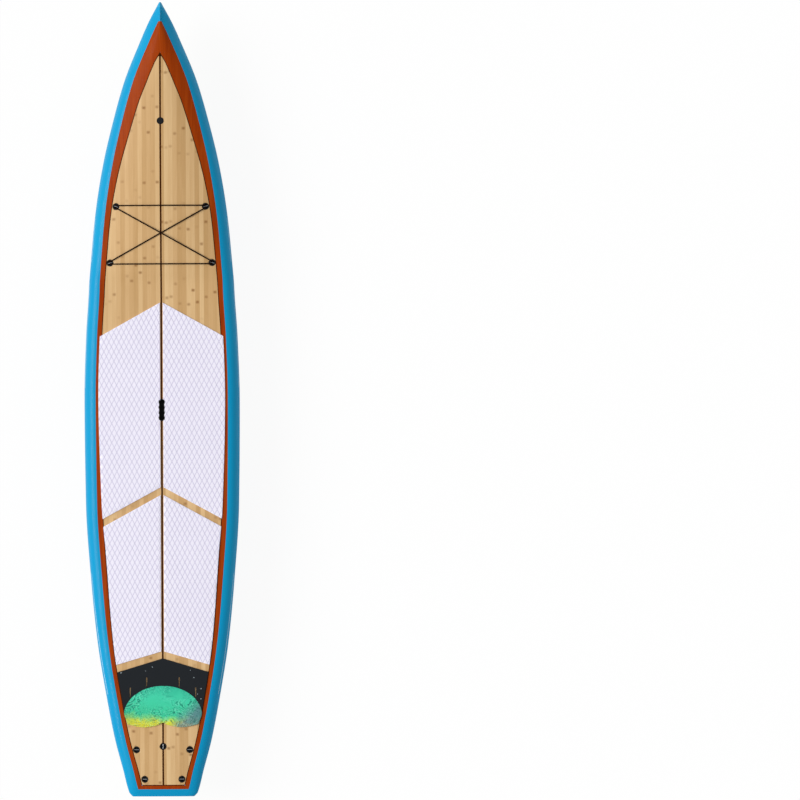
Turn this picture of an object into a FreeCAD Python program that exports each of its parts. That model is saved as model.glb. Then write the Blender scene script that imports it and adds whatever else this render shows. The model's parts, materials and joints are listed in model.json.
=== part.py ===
import FreeCAD, Part
import math
import os

import Sketcher

# A touring stand up paddleboard, drawn in its own frame in millimetres.
# X is the beam (+X starboard), +Y points to the nose, +Z is up out of the deck.
# The origin lies on the flat of the bottom, half way along the hull.

Vector = FreeCAD.Vector
Rotation = FreeCAD.Rotation
Placement = FreeCAD.Placement
UP = Vector(0, 0, 1)

doc = FreeCAD.newDocument("paddleboard")

# ---------------------------------------------------------------- driving sizes

# Table of offsets: the hull's shape at each station along Y.
#   half_width  from the centre plane to the rail's widest line
#   keel        height of the bottom at the centre plane
#   vee         how far the bottom rises from the keel to its edge
#   tuck        how far the bottom's edge lies inside the widest line
#   apex        height of the widest line
#   shoulder    how far the deck's edge lies inside the widest line
#   crown       how far the deck rises from its edge to the centre plane
#   deck        height of the deck at the centre plane
OFFSET_COLUMNS = ("station", "half_width", "keel", "vee", "tuck", "apex", "shoulder", "crown", "deck")
OFFSETS = {
    "transom": (-1905, 147, 113, 4, 10, 132, 40, 3, 150),
    "corner": (-1895, 160, 111, 4, 18, 131, 45, 3, 153),
    "quarter": (-1870, 170, 107, 5, 26, 129, 49, 4, 160),
    "kick": (-1780, 193, 94, 5, 36, 124, 50, 5, 170),
    "leash": (-1637, 231, 76, 6, 46, 117, 51, 6, 175),
    "skeg": (-1445, 269, 57, 7, 58, 107, 51, 6, 173),
    "hip": (-1160, 315, 38, 8, 70, 99, 53, 6, 168),
    "waist": (-870, 344, 25, 8, 78, 94, 55, 6, 166),
    "aft": (-500, 368, 10, 8, 84, 88, 56, 5, 164),
    "middle": (0, 373, -0.6, 8, 86, 84, 56, 5, 162),
    "fore": (300, 364, 3, 9, 82, 84, 55, 5, 162),
    "stance": (500, 351, 6, 10, 76, 85, 54, 5, 162.5),
    "rise": (560, 348, 7.5, 11, 74, 85, 53, 8, 166),
    "step": (620, 343, 8.5, 13, 70, 86, 52, 18, 180),
    "hump": (700, 336, 9.5, 15, 66, 87, 51, 26, 189),
    "brow": (820, 325, 11.5, 18, 60, 88, 50, 31, 197),
    "chest": (950, 309, 14, 22, 52, 90, 49, 33, 207),
    "entry": (1141, 276, 19, 27, 40, 94, 48, 33, 214),
    "bow": (1333, 230, 25, 28, 28, 100, 46, 31, 217),
    "cheek": (1525, 175, 36, 20, 20, 108, 45, 28, 219),
    "beak": (1716, 98, 52, 8, 12, 122, 46, 20, 213),
    "prow": (1812, 55, 64, 5, 9, 136, 47, 12, 204),
    "stem": (1870, 24, 90, 4, 6, 146, 18, 8, 190),
    "tip": (1905, 5, 116, 3, 2, 146, 3, 3, 174),
}

SIZES = {
    # laminate and veneers
    "skin_thickness": 2.0,
    "veneer_thickness": 1.0,
    "bond_line": 0.4,
    "core_gap": 1.2,
    "core_relief_start": 1814.0,
    "core_relief_height": 189.0,
    "tail_cap_end": -1902.0,
    "nose_cap_start": 1880.0,
    "stringer_thickness": 5.0,
    "pinline_width": 4.0,
    "centre_strip_width": 8.0,
    "border_nose": 1812.0,
    "border_tail": -1870.0,
    "bamboo_nose": 1656.0,
    "bamboo_tail": -1849.0,
    "bamboo_end": 1644.0,
    "pinline_nose": 1664.0,
    "pinline_end": 1662.0,
    # traction pads
    "pad_thickness": 5.0,
    "dome_pad_thickness": 7.0,
    "pad_gap": 14.0,
    "pad_nose": 468.0,
    "pad_shoulder": 303.0,
    "split_front": -418.0,
    "split_rear": -455.0,
    "split_sweep": 155.0,
    "pad_tail": -1207.0,
    "tail_panel_nose": -1242.0,
    "tail_panel_end": -1516.0,
    "tail_sweep": 66.0,
    "dome_top": -1374.0,
    "dome_middle": -1496.0,
    "dome_half_width": 186.0,
    "dome_lobe": -1572.0,
    "dome_notch": -1549.0,
    "dome_lap": 8.0,
    "dome_margin": 10.0,
    "slot_width": 6.0,
    "slot_length": 48.0,
    # tie-down and leash cups
    "cup_flange_radius": 16.5,
    "cup_body_radius": 14.5,
    "cup_bore_radius": 12.0,
    "cup_proud": 0.8,
    "cup_flange_depth": 2.5,
    "cup_bore_depth": 15.0,
    "cup_depth": 21.0,
    "bar_radius": 2.0,
    "bar_length": 27.0,
    "bar_drop": 4.0,
    "cord_radius": 3.0,
    "cord_side": 5.2,
    "cord_over_rim": 4.3,
    "cord_clearance": 0.9,
    "cord_cross_lift": 6.5,
    "cord_bar_gap": 0.2,
    "cord_cup_turn": 15.0,
    "fore_cup_reach": 215.0,
    "fore_cup_place": 925.0,
    "aft_cup_reach": 245.0,
    "aft_cup_place": 655.0,
    "tail_cup_reach": 128.0,
    "tail_cup_place": -1680.0,
    "rear_cup_reach": 89.0,
    "rear_cup_place": -1822.0,
    "leash_cup_place": -1664.0,
    # carrying handle
    "handle_place": -51.0,
    "handle_lobe_radius": 15.0,
    "handle_lobe_pitch": 25.0,
    "handle_waist_width": 25.0,
    "handle_wall": 2.4,
    "handle_depth": 58.0,
    "handle_lip_depth": 16.0,
    "handle_undercut": 14.0,
    "handle_corner_radius": 9.0,
    "handle_proud": 5.4,
    # air vent
    "vent_place": 1335.0,
    "vent_flange_radius": 17.0,
    "vent_body_radius": 12.0,
    "vent_bore_radius": 8.06,
    "vent_shaft_radius": 8.0,
    "vent_shaft_length": 10.0,
    "vent_head_radius": 12.5,
    "vent_head_height": 2.4,
    "vent_depth": 24.0,
    "vent_seat": 1.5,
    "vent_proud": 0.6,
    "vent_channel_radius": 4.0,
    "vent_bore_depth": 14.0,
    "seal_groove_inner": 8.7,
    "seal_groove_outer": 10.5,
    "seal_groove_depth": 1.0,
    "seal_ring_radius": 9.6,
    "seal_wire_radius": 0.74,
    "seal_height": 0.37,
    "vent_head_base": 1.13,
    "cap_hollow_radius": 5.5,
    "cap_hollow_roof": 0.5,
    "membrane_radius": 5.45,
    "membrane_thickness": 0.6,
    "membrane_gap": 0.05,
    "coin_slot_width": 2.4,
    "coin_slot_length": 17.0,
    "coin_slot_depth": 1.4,
    # fin box, drawn in its own frame: length along Y, depth along Z
    "fin_box_place": -1602.0,
    "fin_box_length": 276.0,
    "fin_box_width": 27.0,
    "fin_box_depth": 31.0,
    "fin_slot_length": 254.0,
    "fin_slot_width": 10.0,
    "fin_slot_depth": 26.5,
    "groove_width": 15.6,
    "groove_floor": 6.6,
    "groove_roof": 12.4,
    "notch_length": 18.0,
    "fin_block_margin": 22.0,
    "fin_block_roof": 8.0,
    # fin, its lock pin, nut, washer and screw
    "root_clearance": 0.8,
    "fin_thickness": 9.4,
    "tongue_start": 17.0,
    "tongue_length": 126.0,
    "tongue_height": 24.0,
    "tongue_chamfer": 9.0,
    "tab_reach": 22.0,
    "tab_floor": 4.3,
    "tab_roof": 7.5,
    "tab_overlap": 6.0,
    "tab_end_flat": 0.3,
    "screw_reach": 13.0,
    "tab_hole_radius": 2.3,
    "lock_pin_radius": 2.4,
    "lock_pin_length": 14.8,
    "lock_pin_reach": 130.0,
    "lock_pin_height": 10.3,
    "nut_side": 14.6,
    "nut_thickness": 3.0,
    "nut_gap": 0.05,
    "nut_hole_radius": 2.05,
    "screw_radius": 2.0,
    "screw_length": 8.4,
    "screw_head_radius": 3.8,
    "screw_head_height": 2.2,
    "screw_top": 3.4,
    "recess_width": 1.0,
    "recess_length": 4.4,
    "recess_depth": 1.3,
    "washer_radius": 4.3,
    "washer_floor": 3.45,
    "washer_thickness": 0.8,
    "washer_hole_radius": 2.3,
    "front_play": 1.0,
}

sheet = doc.addObject("Spreadsheet::Sheet", "Sizes")


def fill_sheet():
    """Writes every driving size into the sheet, one alias for each."""
    row = 1
    for name, value in SIZES.items():
        sheet.set(f"A{row}", name)
        sheet.set(f"B{row}", str(value))
        sheet.setAlias(f"B{row}", name)
        row += 1
    for name, values in OFFSETS.items():
        sheet.set(f"A{row}", name)
        for letter, column, value in zip("BCDEFGHIJ", OFFSET_COLUMNS, values):
            sheet.set(f"{letter}{row}", str(value))
            sheet.setAlias(f"{letter}{row}", f"{name}_{column}")
        row += 1
    doc.recompute()


fill_sheet()


def size(name):
    return float(sheet.get(name))


# ---------------------------------------------------------------- hull surface

stations = [[size(f"{name}_{column}") for column in OFFSET_COLUMNS] for name in OFFSETS]
TAIL_END = stations[0][0]
NOSE_END = stations[-1][0]


def smooth(points, place):
    """Monotone cubic through (place, value) points: it never overshoots between two of them."""
    xs = [p[0] for p in points]
    ys = [p[1] for p in points]
    steps = [b - a for a, b in zip(xs, xs[1:])]
    slopes = [(b - a) / step for a, b, step in zip(ys, ys[1:], steps)]
    tangents = [slopes[0]]
    for i in range(1, len(slopes)):
        before, after = slopes[i - 1], slopes[i]
        if before * after <= 0:
            tangents.append(0.0)
            continue
        first = 2 * steps[i] + steps[i - 1]
        second = steps[i] + 2 * steps[i - 1]
        tangents.append((first + second) / (first / before + second / after))
    tangents.append(slopes[-1])
    place = min(max(place, xs[0]), xs[-1])
    i = max(k for k in range(len(steps)) if xs[k] <= place)
    part = (place - xs[i]) / steps[i]
    rest = 1 - part
    return (
        ys[i] * (1 + 2 * part) * rest ** 2
        + tangents[i] * steps[i] * part * rest ** 2
        + ys[i + 1] * part ** 2 * (3 - 2 * part)
        - tangents[i + 1] * steps[i] * part ** 2 * rest
    )


def offset(column, place):
    index = OFFSET_COLUMNS.index(column)
    return smooth([(row[0], row[index]) for row in stations], place)


RAIL_FULLNESS = 0.6


def rail_curve(start, corner, end):
    """A cubic that leaves start and reaches end along the two lines through corner."""
    near_start = start + (corner - start) * RAIL_FULLNESS
    near_end = end + (corner - end) * RAIL_FULLNESS
    return [start, near_start, near_end, end]


def section_lines(place):
    """The section's named points: half width, edges of bottom and deck, and their heights."""
    width = offset("half_width", place)
    return {
        "width": width,
        "apex": offset("apex", place),
        "keel": offset("keel", place),
        "vee": offset("vee", place),
        "bottom_edge": width - offset("tuck", place),
        "deck": offset("deck", place),
        "crown": offset("crown", place),
        "deck_edge": width - offset("shoulder", place),
    }


def parabola(place, middle, rise, edge, start, end):
    """Poles from x = start to x = end of the curve through (0, middle) and (edge, middle + rise)."""
    bend = rise / edge ** 2
    first = Vector(start, place, middle + bend * start ** 2)
    last = Vector(end, place, middle + bend * end ** 2)
    pole = Vector((start + end) / 2, place, first.z + bend * start * (end - start))
    return [first, pole, last]


def deck_curve(place, depth, start, end):
    """Poles of the deck's curve at a depth under its surface, between two places across the beam."""
    lines = section_lines(place)
    return parabola(place, lines["deck"] - depth, -lines["crown"], lines["deck_edge"], start, end)


def bottom_curve(place, depth, start, end):
    """Poles of the bottom's curve at a depth inside it, between two places across the beam."""
    lines = section_lines(place)
    return parabola(place, lines["keel"] + depth, lines["vee"], lines["bottom_edge"], start, end)


def rail_corner(width, apex, edge, slope):
    """Where the deck's or bottom's slope, carried outwards, meets the side; at most half way to the apex."""
    run = width - edge.x
    climb = abs(edge.z - apex)
    move = min(slope * run, climb / 2)
    return Vector(width, edge.y, edge.z - move if edge.z > apex else edge.z + move)


def upper_rail(place, depth):
    """Poles from the widest line up to the deck's edge."""
    lines = section_lines(place)
    edge = deck_curve(place, depth, 0, lines["deck_edge"])[-1]
    fall = 2 * lines["crown"] / lines["deck_edge"]
    width = lines["width"] - depth
    widest = Vector(width, place, lines["apex"])
    return rail_curve(widest, rail_corner(width, widest.z, edge, fall), edge)


def lower_rail(place, depth):
    """Poles from the widest line down to the bottom's edge."""
    lines = section_lines(place)
    edge = bottom_curve(place, depth, 0, lines["bottom_edge"])[-1]
    rise = 2 * lines["vee"] / lines["bottom_edge"]
    width = lines["width"] - depth
    widest = Vector(width, place, lines["apex"])
    return rail_curve(widest, rail_corner(width, widest.z, edge, rise), edge)


def mirrored(point):
    return Vector(-point.x, point.y, point.z)


def closed_wire(curves):
    """A closed wire through lists of poles, with straight edges across any gap between them."""
    edges = []
    for poles, following in zip(curves, curves[1:] + curves[:1]):
        curve = Part.BezierCurve()
        curve.setPoles(poles)
        edges.append(curve.toBSpline().toShape())
        if (following[0] - poles[-1]).Length > 1e-6:
            edges.append(Part.LineSegment(poles[-1], following[0]).toShape())
    return Part.Wire(edges)


def backwards(curves):
    return [poles[::-1] for poles in reversed(curves)]


def port_side(curves):
    return [[mirrored(p) for p in poles] for poles in curves]


# Places of the sections that the hull is lofted through: closer where its shape turns.
SECTION_PLACES = [
    -1905, -1902, -1895, -1884, -1870, -1828, -1780, -1710, -1637, -1541, -1445, -1300, -1160,
    -1010, -870, -690, -500, -330, -160, 0, 160, 300, 410, 500, 530, 560, 590, 620, 660, 700, 760,
    820, 885, 950, 1045, 1141, 1237, 1333, 1429, 1525, 1580, 1620, 1634,
    1648, 1662, 1680, 1698, 1716, 1764, 1812, 1841, 1870, 1888, 1905,
]


# How far inside an end the extra section of a loft stands that would bulge without it.
END_GUARD = 5.0


def places_between(start, end):
    """The section places inside a stretch of the hull, with the stretch's own two ends."""
    return [start] + [p for p in SECTION_PLACES if start + 1.5 < p < end - 1.5] + [end]


def loft_along(section, start, end):
    """A solid lofted through section(place) wires from start to end."""
    return Part.makeLoft([section(place) for place in places_between(start, end)], True, False)


def full_section(place):
    """The whole hull's outline, from the keel up the starboard side and down the port side."""
    lines = section_lines(place)
    starboard = [
        bottom_curve(place, 0, 0, lines["bottom_edge"]),
        lower_rail(place, 0)[::-1],
        upper_rail(place, 0),
        deck_curve(place, 0, lines["deck_edge"], 0),
    ]
    return closed_wire(starboard + backwards(port_side(starboard)))


def bottom_skin_section(place):
    """The bottom laminate: from widest line to widest line under the hull, one skin thick."""
    lines = section_lines(place)
    layers = []
    for depth in (0, size("skin_thickness")):
        starboard = [bottom_curve(place, depth, 0, lines["bottom_edge"]), lower_rail(place, depth)[::-1]]
        layers.append(backwards(port_side(starboard)) + starboard)
    return closed_wire(layers[0] + backwards(layers[1]))


def rail_skin_section(place, side):
    """The laminate of one upper rail, from the widest line to the deck's edge."""
    lift = Vector(0, 0, size("bond_line"))
    curves = [upper_rail(place, 0), upper_rail(place, size("skin_thickness"))[::-1]]
    # it starts a bond line above the bottom laminate
    curves = [[p + lift if p.z <= offset("apex", place) else p for p in poles] for poles in curves]
    return closed_wire(curves if side > 0 else port_side(curves))


def deck_strip(top, bottom, start_reach, end_reach):
    """Section function of a layer of the deck between two reaches and two depths."""

    def section(place):
        start, end = start_reach(place), end_reach(place)
        return closed_wire([
            deck_curve(place, top, start, end),
            deck_curve(place, bottom, end, start),
        ])

    return section


def core_section(place, side):
    """Half of the foam core, beside the stringer and inside the laminates."""
    lines = section_lines(place)
    depth = size("skin_thickness") + size("core_gap")
    web = size("stringer_thickness") / 2 + size("bond_line")
    curves = [
        bottom_curve(place, depth, web, lines["bottom_edge"]),
        lower_rail(place, depth)[::-1],
        upper_rail(place, depth),
        deck_curve(place, depth, lines["deck_edge"], web),
    ]
    return closed_wire(curves if side > 0 else port_side(curves))


def stringer_section(place):
    depth = size("skin_thickness") + size("core_gap")
    web = size("stringer_thickness") / 2
    return closed_wire([bottom_curve(place, depth, -web, web), deck_curve(place, depth, web, -web)])


def deck_height(x, place, rise=0.0):
    """Height of the deck at a point inside the deck's edge."""
    lines = section_lines(place)
    return lines["deck"] + rise - lines["crown"] * (x / lines["deck_edge"]) ** 2


def deck_normal(x, place):
    reach = 2.0
    along_x = Vector(2 * reach, 0, deck_height(x + reach, place) - deck_height(x - reach, place))
    along_y = Vector(0, 2 * reach, deck_height(x, place + reach) - deck_height(x, place - reach))
    return along_x.cross(along_y).normalize()


def box(low, high):
    """A box between two corners."""
    side = Vector(*high) - Vector(*low)
    return Part.makeBox(side.x, side.y, side.z, Vector(*low))


# Distances that reach past the whole hull, out of its bottom and out of its deck.
FAR = 2500.0
BELOW = 50.0
ABOVE = 40.0


# ---------------------------------------------------------------- outlines on the deck

# How far the bamboo's edge lies inside the widest line, at places along Y.
BAMBOO_INSET = [
    (-1849, 75), (-1445, 74), (-700, 84), (300, 80), (854, 79), (1046, 84), (1237, 95),
    (1429, 104), (1525, 113), (1621, 117),
]
# How far the pads lap over the border, at places along Y.
PAD_LAP = [(-700, 0), (-487, 6), (0, 12), (468, 12)]


def border_reach(place):
    return section_lines(place)["deck_edge"]


def bamboo_reach(place):
    """Half width of the bamboo: along the rails, then in to a point at its nose."""
    last, nose = BAMBOO_INSET[-1][0], size("bamboo_nose")
    if place > last:
        end = offset("half_width", last) - BAMBOO_INSET[-1][1]
        return end * max(0.0, (nose - place) / (nose - last))
    return offset("half_width", place) - smooth(BAMBOO_INSET, place)


def pinline_reach(place):
    """Outer edge of the pinline round the bamboo: it comes to a point of its own ahead of the bamboo's."""
    width, last, nose = size("pinline_width"), BAMBOO_INSET[-1][0], size("pinline_nose")
    if place > last:
        return (bamboo_reach(last) + width) * max(0.0, (nose - place) / (nose - last))
    return bamboo_reach(place) + width


def pad_reach(place):
    return bamboo_reach(place) + smooth(PAD_LAP, place)


def curve_edge(points):
    curve = Part.BSplineCurve()
    curve.interpolate(points)
    return curve.toShape()


def line_edge(start, end):
    return Part.LineSegment(start, end).toShape()


def prism(edges, low=-FAR, high=FAR):
    """The upright prism over a closed plan outline drawn at height 0."""
    wire = Part.Wire(edges)
    wire.translate(Vector(0, 0, low))
    return Part.Face(wire).extrude(Vector(0, 0, high - low))


# A reach across the beam past the widest pad.
ASIDE = 400.0


def pad_prism(side, nose, shoulder, tail, heel):
    """Prism between the swept front and rear edges of one pad half, open at its outer edge."""
    front = (shoulder - nose) / pad_reach(shoulder)
    rear = (heel - tail) / pad_reach(heel)
    outline = [
        Vector(0, nose, 0),
        Vector(side * ASIDE, nose + front * ASIDE, 0),
        Vector(side * ASIDE, tail + rear * ASIDE, 0),
        Vector(0, tail, 0),
    ]
    return prism([line_edge(a, b) for a, b in zip(outline, outline[1:] + outline[:1])], 0.0, FAR)


# The rounded tail pad's outline, as parts of its half width. The arch's heights are parts of the way
# from its widest place to its top; the lobe's are distances ahead of its rearmost line.
DOME_ARCH = [(1.0, 0.0), (0.80, 0.55), (0.42, 0.90), (0.0, 1.0)]
DOME_LOBE = [(0.91, 14), (0.52, 0), (0.16, 9)]


def dome_edges():
    """Plan outline of the rounded tail pad: one arch above, two shallow lobes below."""
    half = size("dome_half_width")
    top, middle = size("dome_top"), size("dome_middle")
    lobe = [Vector(part * half, size("dome_lobe") + ahead, 0) for part, ahead in DOME_LOBE]
    lobe.append(Vector(0, size("dome_notch"), 0))
    arch = [lobe[0]] + [Vector(part * half, middle + way * (top - middle), 0) for part, way in DOME_ARCH]
    arch += [mirrored(p) for p in reversed(arch[:-1])]
    port = [mirrored(p) for p in lobe]
    return [curve_edge(arch), curve_edge(port), curve_edge(lobe[::-1])]


# ---------------------------------------------------------------- pockets for the hardware


def turned(profile):
    """A solid of revolution about Z from (radius, height) points."""
    points = [Vector(radius, 0, height) for radius, height in profile]
    wire = Part.makePolygon(points + [points[0]])
    return Part.Face(wire).revolve(Vector(0, 0, 0), UP, 360)


def cup_pocket():
    """The hole that a tie-down cup fills, open above the deck."""
    flange, body = size("cup_flange_radius"), size("cup_body_radius")
    step, floor = -size("cup_flange_depth"), -size("cup_depth")
    return turned([(0, floor), (body, floor), (body, step), (flange, step), (flange, ABOVE), (0, ABOVE)])


def vent_pocket():
    flange, body = size("vent_flange_radius"), size("vent_body_radius")
    step, floor = -size("vent_seat"), -size("vent_depth")
    return turned([(0, floor), (body, floor), (body, step), (flange, step), (flange, ABOVE), (0, ABOVE)])


def upright_edges(shape):
    return [edge for edge in shape.Edges if abs(edge.tangentAt(0).z) > 0.9]


def handle_column(radius, waist, low, high):
    """A column with the handle's outline: four round lobes joined by a waist."""
    pitch = size("handle_lobe_pitch")
    column = box((-waist / 2, -1.5 * pitch, low), (waist / 2, 1.5 * pitch, high))
    for index in range(4):
        centre = Vector(0, (index - 1.5) * pitch, low)
        column = column.fuse(Part.makeCylinder(radius, high - low, centre))
    return column.removeSplitter()


def handle_shell(wall):
    """The handle cup's shape, grown inwards by wall: a lobed mouth over a wider finger well."""
    lobe = size("handle_lobe_radius") - wall
    waist = size("handle_waist_width") - 2 * wall
    floor = -size("handle_depth") + wall
    lip = -size("handle_lip_depth") - wall
    half_length = 1.5 * size("handle_lobe_pitch") + lobe
    half_width = size("handle_lobe_radius") + size("handle_undercut") - wall
    well = box((-half_width, -half_length, floor), (half_width, half_length, lip))
    well = well.makeFillet(size("handle_corner_radius") - wall, upright_edges(well))
    # the mouth dips a little into the well, so that the two fuse
    return handle_column(lobe, waist, lip - 1, ABOVE).fuse(well).removeSplitter()


def deck_placement(x, place, turn=0.0):
    """Where a cup sits: on the deck, its Z along the deck's normal, turned about it."""
    origin = Vector(x, place, deck_height(x, place))
    tilt = Rotation(UP, deck_normal(x, place))
    return Placement(origin, tilt.multiply(Rotation(UP, turn)))


def cup_places():
    """Label and placement of every tie-down cup: the cross bar turns towards the cord."""
    places = {}
    for side, word in ((1, "starboard"), (-1, "port")):
        rows = (
            ("fore", size("fore_cup_reach"), size("fore_cup_place"), size("cord_cup_turn")),
            ("aft", size("aft_cup_reach"), size("aft_cup_place"), -size("cord_cup_turn")),
            ("tail", size("tail_cup_reach"), size("tail_cup_place"), 0),
            ("rear", size("rear_cup_reach"), size("rear_cup_place"), 0),
        )
        for row, reach, place, turn in rows:
            places[f"{row}_{word}"] = deck_placement(side * reach, place, side * turn)
    return places


CUPS = cup_places()
LEASH_CUP = deck_placement(0, size("leash_cup_place"), 90)
VENT = Placement(Vector(0, size("vent_place"), offset("deck", size("vent_place"))), Rotation())
handle_deck = offset("deck", size("handle_place"))
HANDLE = Placement(Vector(0, size("handle_place"), handle_deck), Rotation())


def fin_frame():
    """Frame of the fin box: origin on the bottom at its middle, Y along the slot, Z up into the hull."""
    place = size("fin_box_place")
    reach = size("fin_slot_length") / 2
    slope = (offset("keel", place + reach) - offset("keel", place - reach)) / (2 * reach)
    tilt = Rotation(Vector(1, 0, 0), math.degrees(math.atan(slope)))
    return Placement(Vector(0, place, offset("keel", place)), tilt)


FIN = fin_frame()


def placed(shape, placement):
    copy = shape.copy()
    copy.Placement = placement.multiply(copy.Placement)
    return copy


def all_pockets():
    pockets = [placed(cup_pocket(), place) for place in CUPS.values()]
    pockets.append(placed(cup_pocket(), LEASH_CUP))
    pockets.append(placed(vent_pocket(), VENT))
    pockets.append(placed(handle_shell(0.0), HANDLE))
    return pockets


# ---------------------------------------------------------------- the document's pieces

pieces = []
SIDES = ((1, "starboard"), (-1, "port"))
SLOTS = [(side * reach, top) for side in (1, -1) for reach, top in ((78, -1333), (157, -1382))]
# A cut leaves nothing smaller than this, in cubic millimetres, that belongs to a piece.
CRUMB = 1.0


def feature(label, shape):
    """A sub-part whose shape comes from Part's own functions."""
    item = doc.addObject("Part::Feature", label)
    item.Label = label
    item.Shape = shape
    pieces.append(item)
    return item


def solid_of(shape):
    """The single solid of a boolean's result, or all of them as one compound."""
    solids = [s for s in shape.Solids if s.Volume > CRUMB]
    return solids[0] if len(solids) == 1 else Part.makeCompound(solids)


def side_strip(side, inner, outer, top, bottom, start, end):
    """One side's strip of a deck layer, between two reach functions."""
    def low(place):
        return side * inner(place)

    def high(place):
        return side * outer(place)

    return loft_along(deck_strip(top, bottom, low, high), start, end)


def across(reach, top, bottom, start, end):
    """A deck layer from rail to rail, out to a reach function."""
    return side_strip(1, lambda place: -reach(place), reach, top, bottom, start, end)


def build_laminates(pockets):
    bond, skin = size("bond_line"), size("skin_thickness")
    veneer = size("veneer_thickness")
    tail, nose = size("tail_cap_end") + bond, size("nose_cap_start") - bond
    below_flat = box((-FAR, -FAR, -BELOW), (FAR, FAR, 0))
    fin_box = placed(fin_box_blank(), FIN)

    feature("tail_cap", loft_along(full_section, TAIL_END, size("tail_cap_end")))
    feature("nose_cap", loft_along(full_section, size("nose_cap_start"), NOSE_END))
    bottom = loft_along(bottom_skin_section, tail, nose)
    feature("bottom_skin", solid_of(bottom.cut([below_flat, fin_box])))
    for side, word in SIDES:
        feature(f"rail_skin_{word}", loft_along(lambda place: rail_skin_section(place, side), tail, nose))

    # the deck laminate lies under the veneers, and comes up to the surface past both their ends
    def reach(place):
        return border_reach(place) - 2 * bond

    border_tail, border_nose = size("border_tail"), size("border_nose")
    # a section close to its nose end keeps the loft's last stretch from bulging
    under_veneers = deck_strip(veneer + bond, skin, lambda place: -reach(place), reach)
    last = border_nose + bond
    places = places_between(border_tail - bond, last - END_GUARD) + [last]
    middle = Part.makeLoft([under_veneers(place) for place in places], True, False)
    ends = [
        across(reach, 0, skin, tail, border_tail - bond),
        across(reach, 0, skin, last, nose),
    ]
    feature("deck_skin", Part.makeCompound([solid_of(middle.cut(pockets))] + ends))


def build_veneers(pockets):
    bond, veneer = size("bond_line"), size("veneer_thickness")
    strip = size("centre_strip_width") / 2
    border_tail, border_nose = size("border_tail"), size("border_nose")
    bamboo_tail, bamboo_end = size("bamboo_tail"), size("bamboo_end")
    pinline, pinline_nose = size("pinline_width"), size("pinline_nose")

    def border_outer(place):
        return border_reach(place) - bond

    def border_inner(place):
        return pinline_reach(place) + bond / 2

    def pinline_outer(place):
        return pinline_reach(place) - bond / 2

    def pinline_inner(place):
        return bamboo_reach(place) + bond / 2

    def bamboo_outer(place):
        return bamboo_reach(place) - bond / 2

    def strip_edge(place):
        return strip + bond / 2

    def strip_side(place):
        return strip - bond / 2

    # the border and the pinline each run across at both ends, and down both sides between them
    border = [
        across(border_outer, 0, veneer, border_tail, bamboo_tail - pinline),
        across(border_outer, 0, veneer, pinline_nose + bond, border_nose),
    ]
    pinlines = [
        across(bamboo_outer, 0, veneer, bamboo_tail - pinline + bond, bamboo_tail),
        across(pinline_outer, 0, veneer, bamboo_end + bond, size("pinline_end")),
    ]
    for side, word in SIDES:
        start = bamboo_tail - pinline + bond
        border.append(side_strip(side, border_inner, border_outer, 0, veneer, start, pinline_nose))
        pinlines.append(
            side_strip(side, pinline_inner, pinline_outer, 0, veneer, bamboo_tail + bond, bamboo_end),
        )
        bamboo = side_strip(side, strip_edge, bamboo_outer, 0, veneer, bamboo_tail + bond, bamboo_end)
        feature(f"bamboo_veneer_{word}", solid_of(bamboo.cut(pockets)))
    feature("border_veneer", Part.makeCompound(border))
    pinlines = [solid_of(line.cut(pockets)) for line in pinlines]
    feature("pinline_inlay", Part.makeCompound(pinlines))
    centre = across(strip_side, 0, veneer, bamboo_tail + bond, bamboo_end)
    feature("centre_strip", solid_of(centre.cut(pockets)))


def build_core(pockets):
    bond = size("bond_line")
    start, end = size("tail_cap_end") + bond, size("nose_cap_start") - bond
    margin = size("fin_block_margin")
    half_width = size("fin_box_width") / 2 + margin
    half_length = size("fin_box_length") / 2 + margin
    roof = size("fin_box_depth") + size("fin_block_roof")
    block = placed(box((-half_width, -half_length, -BELOW), (half_width, half_length, roof)), FIN)
    depth = size("skin_thickness") + bond
    flat = box((-FAR, -FAR, -BELOW), (FAR, FAR, depth))
    tail_end = loft_along(full_section, TAIL_BLOCK_START, TAIL_BLOCK_END)
    raised = placed(tail_end, Placement(Vector(0, 0, depth), Rotation()))
    fin_box = placed(fin_box_blank(), FIN)
    feature("fin_box_block", solid_of(raised.common(block).cut(fin_box)))
    # the blank is planed flat where the deck narrows to a ridge at the nose
    relief_start, relief_height = size("core_relief_start"), size("core_relief_height")
    relief = box((-FAR, relief_start, relief_height), (FAR, FAR, FAR))
    tools = pockets + [block, flat, relief]
    web = loft_along(stringer_section, start, end)
    feature("stringer", solid_of(web.cut(tools)))
    for side, word in SIDES:
        core = loft_along(lambda place: core_section(place, side), start, end)
        feature(f"foam_core_{word}", solid_of(core.cut(tools)))


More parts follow.
